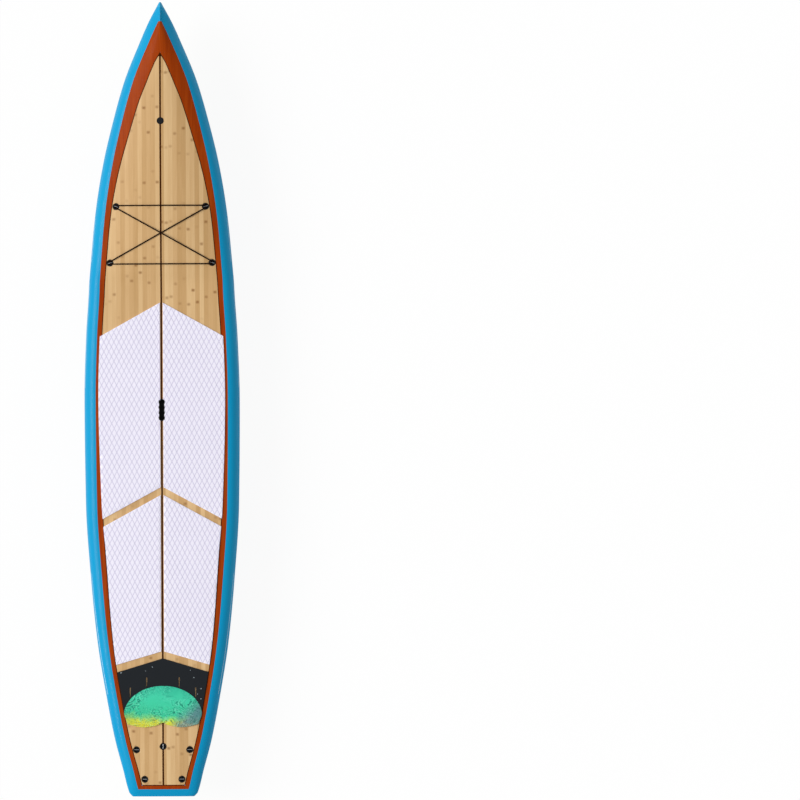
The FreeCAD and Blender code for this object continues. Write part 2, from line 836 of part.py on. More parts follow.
def build_pads():
    bond, thickness = size("bond_line"), size("pad_thickness")
    handle = placed(handle_shell(0.0), HANDLE)
    sweep, tail_sweep = size("split_sweep"), size("tail_sweep")
    gap = size("pad_gap") / 2

    def inner(place):
        return gap

    nose, split_front, split_rear = size("pad_nose"), size("split_front"), size("split_rear")
    for side, word in SIDES:
        front = side_strip(side, inner, pad_reach, -thickness, -bond, split_front - sweep, nose)
        front_plan = pad_prism(side, nose, size("pad_shoulder"), split_front, split_front - sweep)
        feature(f"pad_front_{word}", solid_of(front.common(front_plan).cut(handle)))
        tail = size("pad_tail")
        rear = side_strip(side, inner, pad_reach, -thickness, -bond, tail - tail_sweep, split_rear)
        rear_plan = pad_prism(side, split_rear, split_rear - sweep, tail, tail - tail_sweep)
        feature(f"pad_rear_{word}", solid_of(rear.common(rear_plan)))

    # the dark panel reaches from its swept front edge back past the dome's widest place
    dome = prism(dome_edges(), 0.0, FAR)
    panel_nose = size("tail_panel_nose")
    last = size("tail_panel_end")
    panel = across(bamboo_reach, -thickness, -bond, last, panel_nose)
    drop = tail_sweep * ASIDE / bamboo_reach(panel_nose - tail_sweep)
    front = Vector(0, panel_nose, 0)
    heels = [Vector(side * ASIDE, panel_nose - drop, 0) for side in (1, -1)]
    feet = [Vector(side * ASIDE, last - BELOW, 0) for side in (1, -1)]
    outline = [front, heels[0], feet[0], feet[1], heels[1]]
    edges = [line_edge(a, b) for a, b in zip(outline, outline[1:] + outline[:1])]
    panel = panel.common(prism(edges, 0.0, FAR)).cut(dome)
    slot, length = size("slot_width") / 2, size("slot_length")
    for centre, top in SLOTS:
        panel = panel.cut(box((centre - slot, top - length, 0), (centre + slot, top, FAR)))
    feature("tail_panel", solid_of(panel))
    lap, margin = size("dome_lap"), size("dome_margin")
    dome_pad = across(
        lambda place: bamboo_reach(place) + lap, -size("dome_pad_thickness"), -bond,
        size("dome_lobe") - margin, size("dome_top") + margin,
    )
    feature("tail_dome_pad", solid_of(dome_pad.common(dome)))


# The stretch of the hull that holds the fin box and its block.
TAIL_BLOCK_START = -1850.0
TAIL_BLOCK_END = -1350.0


def fin_box_blank():
    """The fin box before its slot is cut, reaching out past the bottom."""
    half_width, half_length = size("fin_box_width") / 2, size("fin_box_length") / 2
    blank = box((-half_width, -half_length, -BELOW), (half_width, half_length, size("fin_box_depth")))
    return blank.makeFillet(half_width - 1, upright_edges(blank))


def rounded_slot(length, width, low, high):
    """A slot along Y with round ends."""
    radius = width / 2
    straight = length / 2 - radius
    slot = box((-radius, -straight, low), (radius, straight, high))
    for end in (straight, -straight):
        slot = slot.fuse(Part.makeCylinder(radius, high - low, Vector(0, end, low)))
    return slot.removeSplitter()


def build_fin_box():
    length, width = size("fin_slot_length"), size("fin_slot_width")
    slot = rounded_slot(length, width, -BELOW, size("fin_slot_depth"))
    groove_width = size("groove_width")
    groove = box(
        (-groove_width / 2, -length / 2, size("groove_floor")),
        (groove_width / 2, length / 2, size("groove_roof")),
    )
    notch = size("notch_length") / 2
    way_in = box((-groove_width / 2, -notch, -BELOW), (groove_width / 2, notch, size("groove_roof")))
    body = fin_box_blank().cut([slot, groove, way_in])
    outside = loft_along(full_section, TAIL_BLOCK_START, TAIL_BLOCK_END)
    feature("fin_box", solid_of(placed(body, FIN).common(outside)))


# Fin outline below the root line: depth, leading edge and trailing edge, aft of the root's front.
FIN_OUTLINE = [
    (0, 0, 142), (28, 9, 130), (53, 18, 126), (78, 30, 126), (108, 46, 134), (140, 67, 154),
    (165, 86, 180), (186, 104, 205), (205, 129, 225), (218, 150, 226), (226, 172, 216),
]


# The foil from its leading edge back: part of the chord, part of the half thickness.
FOIL = ((0.0, 0.0), (0.03, 0.42), (0.12, 0.78), (0.35, 1.0), (0.65, 0.74), (1.0, 0.10))
# Thickness per millimetre of chord, and per millimetre of height over the fin's tip.
FOIL_FULLNESS = 0.12
FOIL_TAPER = 0.02


def foil_wire(depth, lead, trail):
    """A thin symmetric foil section across the fin at one depth."""
    chord = trail - lead
    height = FIN_OUTLINE[-1][0] + 2 - depth
    thickness = min(size("fin_thickness"), FOIL_FULLNESS * chord + FOIL_TAPER * height)
    side = [Vector(thickness / 2 * half, -(lead + chord * along), -depth) for along, half in FOIL]
    other = [mirrored(p) for p in side]
    return Part.Wire([curve_edge(side), line_edge(side[-1], other[-1]), curve_edge(other[::-1])])


def fin_local(shape):
    """Moves a shape drawn from the fin root's front onto the hull."""
    front = size("fin_slot_length") / 2 - size("tab_reach") - size("front_play")
    return placed(placed(shape, Placement(Vector(0, front, -size("root_clearance")), Rotation())), FIN)


def near(value, wanted):
    return abs(value - wanted) < 0.1


def build_fin():
    blade = Part.makeLoft([foil_wire(*row) for row in FIN_OUTLINE], True, False)
    half = size("fin_thickness") / 2
    start, end = -size("tongue_start"), -size("tongue_start") - size("tongue_length")
    tongue = box((-half, end, 0), (half, start, size("tongue_height")))
    front_edges = [e for e in tongue.Edges if near(e.CenterOfMass.y, start)]
    top_edge = [e for e in front_edges if near(e.CenterOfMass.z, size("tongue_height"))]
    tongue = tongue.makeChamfer(size("tongue_chamfer"), top_edge)
    # the tab runs back into the tongue, so that the two fuse
    tab_root = start - size("tab_overlap")
    tab = box((-half, tab_root, size("tab_floor")), (half, size("tab_reach"), size("tab_roof")))
    tab_end = [e for e in upright_edges(tab) if near(e.CenterOfMass.y, size("tab_reach"))]
    tab = tab.makeFillet(half - size("tab_end_flat"), tab_end)
    pin_centre = Vector(-size("lock_pin_length") / 2, -size("lock_pin_reach"), size("lock_pin_height"))
    pin = Part.makeCylinder(size("lock_pin_radius"), size("lock_pin_length"), pin_centre, Vector(1, 0, 0))
    hole_start = Vector(0, size("screw_reach"), 0)
    hole = Part.makeCylinder(size("tab_hole_radius"), ABOVE, hole_start)
    body = blade.fuse([tongue, tab]).cut([pin, hole]).removeSplitter()
    feature("fin", solid_of(fin_local(body)))
    feature("fin_lock_pin", fin_local(pin))

    side, floor = size("nut_side") / 2, size("tab_roof") + size("nut_gap")
    nut = box((-side, -side, floor), (side, side, floor + size("nut_thickness")))
    nut = nut.cut(Part.makeCylinder(size("nut_hole_radius"), ABOVE, Vector(0, 0, 0)))
    nut.translate(Vector(0, size("screw_reach"), 0))
    feature("fin_nut", fin_local(nut))


# ---------------------------------------------------------------- small turned parts


def origin_plane(body, role):
    return [item for item in body.Origin.OriginFeatures if item.Role == role][0]


def terms(text):
    """The signed size names in a sum such as "vent_proud - seal_groove_depth"."""
    sign = 1
    for word in text.split():
        if word in "+-":
            sign = -1 if word == "-" else 1
        else:
            yield sign, word
            sign = 1


def length(text):
    """The value of such a sum; 0 stands for the axis or the origin's height."""
    return sum(0.0 if word == "0" else sign * size(word) for sign, word in terms(text))


def bound(text):
    """The same sum as an expression on the sheet."""
    return " ".join(f"Sizes.{word}" if word.isidentifier() else word for word in text.split())


def turned_body(label, profile, placement):
    """A PartDesign body revolved about its own Z, from (radius, height) sums of sheet names."""
    body = doc.addObject("PartDesign::Body", label)
    body.Label = label
    sketch = body.newObject("Sketcher::SketchObject", f"{label}_profile")
    sketch.AttachmentSupport = (origin_plane(body, "XZ_Plane"), [""])
    sketch.MapMode = "FlatFace"
    points = [Vector(length(radius), length(height), 0) for radius, height in profile]
    count = len(points)
    for index in range(count):
        sketch.addGeometry(Part.LineSegment(points[index], points[(index + 1) % count]), False)
    for index in range(count):
        sketch.addConstraint(Sketcher.Constraint("Coincident", index, 2, (index + 1) % count, 1))
    for index, (radius, height) in enumerate(profile):
        across_axis = Sketcher.Constraint("DistanceX", -1, 1, index, 1, points[index].x)
        sketch.setExpression(f"Constraints[{sketch.addConstraint(across_axis)}]", bound(radius))
        along_axis = Sketcher.Constraint("DistanceY", -1, 1, index, 1, points[index].y)
        sketch.setExpression(f"Constraints[{sketch.addConstraint(along_axis)}]", bound(height))
    turn = body.newObject("PartDesign::Revolution", f"{label}_turned")
    turn.Profile = sketch
    turn.ReferenceAxis = (sketch, ["V_Axis"])
    turn.Angle = 360
    body.Placement = placement
    return body


def primitive(kind, label, placement, **sums):
    """A Part primitive whose sizes are sums of sheet names."""
    item = doc.addObject(f"Part::{kind}", label)
    item.Label = label
    for field, text in sums.items():
        item.setExpression(field, bound(text))
    item.Placement = placement
    return item


def piece(item):
    pieces.append(item)
    return item


CUP_PROFILE = [
    ("0", "- cup_depth"),
    ("cup_body_radius", "- cup_depth"),
    ("cup_body_radius", "- cup_flange_depth"),
    ("cup_flange_radius", "- cup_flange_depth"),
    ("cup_flange_radius", "cup_proud"),
    ("cup_bore_radius", "cup_proud"),
    ("cup_bore_radius", "- cup_bore_depth"),
    ("0", "- cup_bore_depth"),
]


def cross_bar(label, cup):
    """A steel bar across a cup, along the cup's own X, its ends set in the cup's wall."""
    start = Vector(-size("bar_length") / 2, 0, -size("bar_drop"))
    place = cup.multiply(Placement(start, Rotation(Vector(0, 1, 0), 90)))
    return primitive("Cylinder", label, place, Radius="bar_radius", Height="bar_length")


def build_cups():
    bars = []
    for word, place in CUPS.items():
        piece(turned_body(f"cup_{word}", CUP_PROFILE, place))
        bars.append(cross_bar(f"bar_{word}", place))
    group = doc.addObject("Part::Compound", "tie_down_bars")
    group.Label = "tie_down_bars"
    group.Links = bars
    piece(group)
    piece(turned_body("leash_cup", CUP_PROFILE, LEASH_CUP))
    piece(cross_bar("leash_bar", LEASH_CUP))


def build_handle():
    hollow = handle_shell(0.0).cut(handle_shell(size("handle_wall")))
    above = box((-FAR, -FAR, size("handle_proud")), (FAR, FAR, FAR))
    feature("handle_cup", solid_of(placed(hollow.cut(above), HANDLE)))


def cut_by(label, base, tools):
    """A Part::Cut of the tools out of base, one after the other."""
    for index, tool in enumerate(tools):
        item = doc.addObject("Part::Cut", label if index == len(tools) - 1 else f"{label}_{index}")
        item.Base = base
        item.Tool = tool
        base = item
    base.Label = label
    return base


def build_vent():
    insert = [
        ("vent_channel_radius", "- vent_depth"),
        ("vent_body_radius", "- vent_depth"),
        ("vent_body_radius", "- vent_seat"),
        ("vent_flange_radius", "- vent_seat"),
        ("vent_flange_radius", "vent_proud"),
        ("seal_groove_outer", "vent_proud"),
        ("seal_groove_outer", "vent_proud - seal_groove_depth"),
        ("seal_groove_inner", "vent_proud - seal_groove_depth"),
        ("seal_groove_inner", "vent_proud"),
        ("vent_bore_radius", "vent_proud"),
        ("vent_bore_radius", "- vent_bore_depth"),
        ("vent_channel_radius", "- vent_bore_depth"),
    ]
    piece(turned_body("vent_insert", insert, VENT))
    lift = Placement(Vector(0, 0, size("seal_height")), Rotation())
    piece(primitive(
        "Torus", "vent_seal", VENT.multiply(lift),
        Radius1="seal_ring_radius", Radius2="seal_wire_radius",
    ))
    cap = [
        ("cap_hollow_radius", "- vent_shaft_length"),
        ("vent_shaft_radius", "- vent_shaft_length"),
        ("vent_shaft_radius", "vent_head_base"),
        ("vent_head_radius", "vent_head_base"),
        ("vent_head_radius", "vent_head_base + vent_head_height"),
        ("0", "vent_head_base + vent_head_height"),
        ("0", "cap_hollow_roof"),
        ("cap_hollow_radius", "cap_hollow_roof"),
    ]
    blank = turned_body("vent_cap_blank", cap, VENT)
    top = size("vent_head_base") + size("vent_head_height")
    floor = top - size("coin_slot_depth")
    corner = Vector(-size("coin_slot_length") / 2, -size("coin_slot_width") / 2, floor)
    slot = primitive(
        "Box", "coin_slot", VENT.multiply(Placement(corner, Rotation())),
        Length="coin_slot_length", Width="coin_slot_width", Height="coin_slot_depth",
    )
    piece(cut_by("vent_cap", blank, [slot]))
    low = size("cap_hollow_roof") - size("membrane_thickness") - size("membrane_gap")
    piece(primitive(
        "Cylinder", "vent_membrane", VENT.multiply(Placement(Vector(0, 0, low), Rotation())),
        Radius="membrane_radius", Height="membrane_thickness",
    ))


def fin_placement(x, y, z):
    """A placement given from the fin root's front, on the hull."""
    front = size("fin_slot_length") / 2 - size("tab_reach") - size("front_play")
    return FIN.multiply(Placement(Vector(x, front + y, z - size("root_clearance")), Rotation()))


def build_fin_screw():
    screw = [
        ("0", "screw_top - screw_head_height"),
        ("screw_head_radius", "screw_top - screw_head_height"),
        ("screw_head_radius", "screw_top"),
        ("screw_radius", "screw_top"),
        ("screw_radius", "screw_top + screw_length"),
        ("0", "screw_top + screw_length"),
    ]
    reach = size("screw_reach")
    blank = turned_body("fin_screw_blank", screw, fin_placement(0, reach, 0))
    floor = size("screw_top") - size("screw_head_height")
    recesses = []
    arms = (("recess_width", "recess_length"), ("recess_length", "recess_width"))
    for index, (wide, long) in enumerate(arms):
        corner = fin_placement(-size(wide) / 2, reach - size(long) / 2, floor)
        recesses.append(primitive(
            "Box", f"recess_{index}", corner, Length=wide, Width=long, Height="recess_depth",
        ))
    piece(cut_by("fin_screw", blank, recesses))
    washer = [
        ("washer_hole_radius", "washer_floor"),
        ("washer_radius", "washer_floor"),
        ("washer_radius", "washer_floor + washer_thickness"),
        ("washer_hole_radius", "washer_floor + washer_thickness"),
    ]
    piece(turned_body("fin_washer", washer, fin_placement(0, reach, 0)))


# ---------------------------------------------------------------- deck bungee


# How much of the shorter run beside a corner the arc through that corner takes up.
ARC_SHARE = 0.45


def cord_tube(points, radius):
    """A closed round tube: straight runs between the points, joined by tangent arcs."""
    count = len(points)
    corners = []
    for index, point in enumerate(points):
        back = points[index - 1] - point
        ahead = points[(index + 1) % count] - point
        half_turn = (math.pi - back.getAngle(ahead)) / 2
        setback = ARC_SHARE * min(back.Length, ahead.Length)
        bend = setback / math.tan(half_turn)
        start = point + back.normalize() * setback
        end = point + ahead.normalize() * setback
        to_centre = (back + ahead).normalize() * (bend / math.cos(half_turn))
        corners.append((start, end, point + to_centre, back.cross(ahead).normalize(), half_turn))
    solids = []
    for index, (start, end, centre, axis, half_turn) in enumerate(corners):
        following = corners[(index + 1) % count][0]
        run = following - end
        solids.append(Part.makeCylinder(radius, run.Length, end, run))
        inwards = start - corners[index - 1][1]
        disc = Part.Face(Part.Wire(Part.makeCircle(radius, start, inwards)))
        solids.append(disc.revolve(centre, axis * -1, math.degrees(2 * half_turn)))
    return solids[0].multiFuse(solids[1:]).removeSplitter()


def over_deck(point, lift):
    return Vector(point.x, point.y, deck_height(point.x, point.y) + lift)


def bungee_points():
    """The cord's loop: across the front, down one diagonal, across the back and up the other diagonal."""
    side, top = size("cord_side"), size("cord_over_rim")
    low = -size("bar_drop") - size("bar_radius") - size("cord_radius") - size("cord_bar_gap")

    def in_cup(word, forward):
        """The cord's top and bottom points on the forward or the after side of a cup's bar."""
        place = CUPS[word]
        return [place.multVec(Vector(0, side if forward else -side, height)) for height in (top, low)]

    # each leg's points between its cups: part of the way along, height of the cord's axis over the deck
    lift = size("cord_radius") + size("cord_clearance")
    over = lift + size("cord_cross_lift")
    plain = [(part / 7, lift) for part in range(1, 7)]
    humped = [
        (1 / 7, lift), (2 / 7, lift + 1.0), (0.41, over - 1.5), (0.48, over),
        (0.52, over), (0.59, over - 1.5), (5 / 7, lift + 1.0), (6 / 7, lift),
    ]
    legs = (
        ("fore_port", True, "fore_starboard", True, plain),
        ("fore_starboard", False, "aft_port", True, plain),
        ("aft_port", False, "aft_starboard", False, plain),
        ("aft_starboard", True, "fore_port", False, humped),
    )
    points = []
    for start, start_forward, end, end_forward, heights in legs:
        first, last = in_cup(start, start_forward), in_cup(end, end_forward)
        points += [first[1], first[0]]
        span = last[0] - first[0]
        points += [over_deck(first[0] + span * part, height) for part, height in heights]
        points += [last[0], last[1]]
    return points


def build_bungee():
    feature("deck_bungee", cord_tube(bungee_points(), size("cord_radius")))


# ---------------------------------------------------------------- build, check and write


doc.recompute()
pockets = all_pockets()
build_laminates(pockets)
build_veneers(pockets)
build_core(pockets)
build_pads()
build_fin_box()
build_fin()
build_cups()
build_handle()
build_vent()
build_fin_screw()
build_bungee()
doc.recompute()


def check_document():
    """Stops if any object failed, or if a piece has no valid shape."""
    for item in doc.Objects:
        if "Invalid" in item.State or "Error" in item.State:
            raise RuntimeError(f"{item.Label} did not compute: {item.State}")
    for item in pieces:
        if item.Shape.isNull() or not item.Shape.isValid():
            raise RuntimeError(f"{item.Label} has no valid shape")


check_document()
os.makedirs("parts", exist_ok=True)
for item in pieces:
    item.Shape.exportStep(f"parts/{item.Label}.step")
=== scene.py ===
import json
import math

import bmesh
import bpy
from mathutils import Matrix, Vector


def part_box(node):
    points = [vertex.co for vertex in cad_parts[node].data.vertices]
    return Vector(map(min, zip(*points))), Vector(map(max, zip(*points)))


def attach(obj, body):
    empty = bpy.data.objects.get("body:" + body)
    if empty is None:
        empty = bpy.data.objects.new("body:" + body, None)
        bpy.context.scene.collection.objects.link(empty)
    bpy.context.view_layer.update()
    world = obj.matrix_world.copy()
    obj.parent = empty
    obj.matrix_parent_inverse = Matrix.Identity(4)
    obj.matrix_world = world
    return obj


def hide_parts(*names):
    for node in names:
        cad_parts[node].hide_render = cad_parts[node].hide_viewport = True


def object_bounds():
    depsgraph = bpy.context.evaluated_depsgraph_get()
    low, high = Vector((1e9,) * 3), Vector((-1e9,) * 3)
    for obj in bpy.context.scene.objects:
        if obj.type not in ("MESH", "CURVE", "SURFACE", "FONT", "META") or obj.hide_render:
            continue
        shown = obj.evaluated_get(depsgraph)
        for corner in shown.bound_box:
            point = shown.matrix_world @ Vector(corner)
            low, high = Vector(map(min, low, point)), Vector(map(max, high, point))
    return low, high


# The looks of a touring paddleboard round its CAD frame.
# Lengths in the tables below are millimetres, as in the hull's own drawing; meshes are made in metres.

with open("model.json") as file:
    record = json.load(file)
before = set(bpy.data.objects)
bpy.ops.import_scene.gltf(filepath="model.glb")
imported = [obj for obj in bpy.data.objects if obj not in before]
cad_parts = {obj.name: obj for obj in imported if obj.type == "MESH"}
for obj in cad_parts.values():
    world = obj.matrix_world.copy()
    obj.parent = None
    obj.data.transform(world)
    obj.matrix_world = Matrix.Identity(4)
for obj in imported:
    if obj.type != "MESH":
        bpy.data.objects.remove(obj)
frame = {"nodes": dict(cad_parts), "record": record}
cad_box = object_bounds()
MM = 0.001

# ---------------------------------------------------------------- hull shape

# place along Y, half width, keel, vee, tuck, apex, shoulder, crown, deck
COLUMNS = ("place", "half_width", "keel", "vee", "tuck", "apex", "shoulder", "crown", "deck")
STATIONS = [
    (-1905, 147, 113, 4, 10, 132, 40, 3, 150),
    (-1895, 160, 111, 4, 18, 131, 45, 3, 153),
    (-1870, 170, 107, 5, 26, 129, 49, 4, 160),
    (-1780, 193, 94, 5, 36, 124, 50, 5, 170),
    (-1637, 231, 76, 6, 46, 117, 51, 6, 175),
    (-1445, 269, 57, 7, 58, 107, 51, 6, 173),
    (-1160, 315, 38, 8, 70, 99, 53, 6, 168),
    (-870, 344, 25, 8, 78, 94, 55, 6, 166),
    (-500, 368, 10, 8, 84, 88, 56, 5, 164),
    (0, 373, -0.6, 8, 86, 84, 56, 5, 162),
    (300, 364, 3, 9, 82, 84, 55, 5, 162),
    (500, 351, 6, 10, 76, 85, 54, 5, 162.5),
    (560, 348, 7.5, 11, 74, 85, 53, 8, 166),
    (620, 343, 8.5, 13, 70, 86, 52, 18, 180),
    (700, 336, 9.5, 15, 66, 87, 51, 26, 189),
    (820, 325, 11.5, 18, 60, 88, 50, 31, 197),
    (950, 309, 14, 22, 52, 90, 49, 33, 207),
    (1141, 276, 19, 27, 40, 94, 48, 33, 214),
    (1333, 230, 25, 28, 28, 100, 46, 31, 217),
    (1525, 175, 36, 20, 20, 108, 45, 28, 219),
    (1716, 98, 52, 8, 12, 122, 46, 20, 213),
    (1812, 55, 64, 5, 9, 136, 47, 12, 204),
    (1870, 24, 90, 4, 6, 146, 18, 8, 190),
    (1905, 5, 116, 3, 2, 146, 3, 3, 174),
]
TAIL_END, NOSE_END = STATIONS[0][0], STATIONS[-1][0]
TAIL_CAP_END, NOSE_CAP_START = -1902.0, 1880.0
RAIL_FULLNESS = 0.6
SKIN, VENEER, BOND = 2.0, 1.0, 0.15
STEP = 14.0
DOME_HALF, DOME_TOP, DOME_MIDDLE, DOME_LOBE, DOME_NOTCH = 186.0, -1374.0, -1496.0, -1572.0, -1549.0


def smooth(points, place):
    """Monotone cubic through (place, value) points."""
    xs = [p[0] for p in points]
    ys = [p[1] for p in points]
    steps = [b - a for a, b in zip(xs, xs[1:])]
    slopes = [(b - a) / step for a, b, step in zip(ys, ys[1:], steps)]
    tangents = [slopes[0]]
    for i in range(1, len(slopes)):
        before, after = slopes[i - 1], slopes[i]
        if before * after <= 0:
            tangents.append(0.0)
            continue
        first = 2 * steps[i] + steps[i - 1]
        second = steps[i] + 2 * steps[i - 1]
        tangents.append((first + second) / (first / before + second / after))
    tangents.append(slopes[-1])
    place = min(max(place, xs[0]), xs[-1])
    i = max(k for k in range(len(steps)) if xs[k] <= place)
    part = (place - xs[i]) / steps[i]
    rest = 1 - part
    return (
        ys[i] * (1 + 2 * part) * rest ** 2
        + tangents[i] * steps[i] * part * rest ** 2
        + ys[i + 1] * part ** 2 * (3 - 2 * part)
        - tangents[i + 1] * steps[i] * part ** 2 * rest
    )


def offset(column, place):
    index = COLUMNS.index(column)
    return smooth([(row[0], row[index]) for row in STATIONS], place)


def sampled(poles, count):
    """count + 1 points along the Bezier curve through its poles."""
    points = []
    for step in range(count + 1):
        t = step / count
        level = list(poles)
        while len(level) > 1:
            level = [a.lerp(b, t) for a, b in zip(level, level[1:])]
        points.append(level[0])
    return points


def deck_height(x, place, rise=0.0):
    edge = offset("half_width", place) - offset("shoulder", place)
    return offset("deck", place) + rise - offset("crown", place) * (x / edge) ** 2


def deck_line(place, rise, start, end, count):
    """Points across the deck, rise above its surface."""
    reach = [start + (end - start) * step / count for step in range(count + 1)]
    return [Vector((x, place, deck_height(x, place, rise))) for x in reach]


def bottom_line(place, depth, start, end, count):
    edge = offset("half_width", place) - offset("tuck", place)
    keel, vee = offset("keel", place) + depth, offset("vee", place)
    reach = [start + (end - start) * step / count for step in range(count + 1)]
    return [Vector((x, place, max(0.0, keel + vee * (x / edge) ** 2))) for x in reach]


def rail_points(place, depth, column, rise_column, end_z, count):
    """Points from the widest line to the edge of deck or bottom."""
    width = offset("half_width", place)
    edge_x = width - offset(column, place)
    apex, bend = offset("apex", place), offset(rise_column, place)
    outer = width - depth
    move = min(2 * bend / edge_x * (outer - edge_x), abs(end_z - apex) / 2)
    corner = Vector((outer, place, end_z - move if end_z > apex else end_z + move))
    start, end = Vector((outer, place, apex)), Vector((edge_x, place, end_z))
    poles = [start, start.lerp(corner, RAIL_FULLNESS), end.lerp(corner, RAIL_FULLNESS), end]
    return sampled(poles, count)


def upper_rail(place, depth, count=12):
    end_z = offset("deck", place) - depth - offset("crown", place)
    return rail_points(place, depth, "shoulder", "crown", end_z, count)


def lower_rail(place, depth, count=12):
    end_z = offset("keel", place) + depth + offset("vee", place)
    return rail_points(place, depth, "tuck", "vee", end_z, count)


def mirrored(points):
    return [Vector((-p.x, p.y, p.z)) for p in points]


def bottom_half(place, depth):
    """From the keel out to the starboard widest line."""
    edge = offset("half_width", place) - offset("tuck", place)
    return bottom_line(place, depth, 0, edge, 10)[:-1] + lower_rail(place, depth)[::-1]


def bottom_ring(place):
    outer, inner = bottom_half(place, 0), bottom_half(place, SKIN)
    return mirrored(outer)[:0:-1] + outer + inner[::-1] + mirrored(inner)[1:]


def rail_ring(place, side):
    lift = Vector((0, 0, BOND))
    outer, inner = upper_rail(place, 0), upper_rail(place, SKIN)
    ring = [outer[0] + lift] + outer[1:] + inner[:0:-1] + [inner[0] + lift]
    return ring if side > 0 else mirrored(ring)


def full_ring(place):
    edge = offset("half_width", place) - offset("shoulder", place)
    deck = deck_line(place, 0, edge, 0, 8)[1:]
    half = bottom_half(place, 0) + upper_rail(place, 0)[1:] + deck
    return half + mirrored(half)[-2:0:-1]


def deck_ring(place, top, bottom, start, end, count):
    """The section of a deck layer between two heights above the deck."""
    upper = deck_line(place, top, start, end, count)
    return upper + deck_line(place, bottom, end, start, count)


# ---------------------------------------------------------------- meshes

SMOOTH_ANGLE, NODE_SMOOTH_ANGLE, PAD_SMOOTH_ANGLE, BEVEL_ANGLE = 32.0, 30.0, 12.0, 60.0
BELOW_DECK, ABOVE_DECK = 60.0, 260.0
BELOW_PADS, ABOVE_PADS = 100.0, 240.0
BELOW_HULL, IN_HULL = 20.0, 120.0


def new_piece(name, bm, smooth_angle=SMOOTH_ANGLE):
    """A smooth-shaded object from a bmesh drawn in metres."""
    bmesh.ops.recalc_face_normals(bm, faces=bm.faces)
    mesh = bpy.data.meshes.new(name)
    bm.to_mesh(mesh)
    bm.free()
    mesh.shade_smooth()
    mesh.set_sharp_from_angle(angle=math.radians(smooth_angle))
    item = bpy.data.objects.new(name, mesh)
    bpy.context.scene.collection.objects.link(item)
    return item


def places_between(start, end, step=STEP):
    """Even places from start to end, at most a step apart."""
    count = max(2, math.ceil((end - start) / step))
    return [start + (end - start) * i / count for i in range(count + 1)]


def add_loft(bm, section, places):
    """Adds a closed tube through the rings that section gives at each place."""
    rings = [[bm.verts.new(p * MM) for p in section(place)] for place in places]
    count = len(rings[0])
    for near, far in zip(rings, rings[1:]):
        for i in range(count):
            j = (i + 1) % count
            bm.faces.new((near[i], near[j], far[j], far[i]))
    bm.faces.new(rings[0])
    bm.faces.new(rings[-1][::-1])


def lofted(name, *stretches):
    """A piece made of one or more closed lofts, each (section, start, end)."""
    bm = bmesh.new()
    for section, start, end in stretches:
        add_loft(bm, section, places_between(start, end))
    return new_piece(name, bm)


def add_prism(bm, outline, low, high):
    """Adds the upright prism over plan points."""
    lower = [bm.verts.new(Vector((p[0], p[1], low)) * MM) for p in outline]
    upper = [bm.verts.new(Vector((p[0], p[1], high)) * MM) for p in outline]
    count = len(outline)
    for i in range(count):
        j = (i + 1) % count
        bm.faces.new((lower[i], lower[j], upper[j], upper[i]))
    bm.faces.new(lower[::-1])
    bm.faces.new(upper)


def prism(outline, low=BELOW_DECK, high=ABOVE_DECK):
    """An upright cutting tool, by default as high as the whole deck's range."""
    bm = bmesh.new()
    add_prism(bm, outline, low, high)
    return new_piece("tool", bm)


def applied(item):
    """Replaces an object's mesh by what its modifiers make of it."""
    depsgraph = bpy.context.evaluated_depsgraph_get()
    mesh = bpy.data.meshes.new_from_object(item.evaluated_get(depsgraph))
    item.modifiers.clear()
    item.data = mesh
    return item


def boolean(item, tool, operation):
    modifier = item.modifiers.new("cut", "BOOLEAN")
    modifier.operation = operation
    modifier.solver = "EXACT"
    modifier.object = tool
    return applied(item)


def bevelled(item, width):
    modifier = item.modifiers.new("edge", "BEVEL")
    modifier.width = width * MM
    modifier.segments = 2
    modifier.limit_method = "ANGLE"
    modifier.angle_limit = math.radians(BEVEL_ANGLE)
    return applied(item)


def discard(*items):
    for item in items:
        bpy.data.objects.remove(item)


# ---------------------------------------------------------------- materials


def colour(code):
    """A linear colour from a six-digit sRGB code."""
    channels = [int(code[i:i + 2], 16) / 255 for i in (0, 2, 4)]
    return [c / 12.92 if c <= 0.04045 else ((c + 0.055) / 1.055) ** 2.4 for c in channels] + [1.0]


class Value:
    """A number in a material's node graph."""

    def __init__(self, graph, socket):
        self.graph = graph
        self.socket = socket

    def __add__(self, other):
        return self.graph.math("ADD", self, other)

    def __sub__(self, other):
        return self.graph.math("SUBTRACT", self, other)

    def __mul__(self, other):
        return self.graph.math("MULTIPLY", self, other)

    def __truediv__(self, other):
        return self.graph.math("DIVIDE", self, other)

    def under(self, other):
        return self.graph.math("LESS_THAN", self, other)

    def over(self, other):
        return self.graph.math("GREATER_THAN", self, other)

    def size(self):
        return self.graph.math("ABSOLUTE", self)

    def whole(self):
        return self.graph.math("FLOOR", self)

    def part(self):
        return self.graph.math("FRACT", self)

    def most(self, other):
        return self.graph.math("MAXIMUM", self, other)

    def within(self, low, high):
        return self.over(low) * self.under(high)


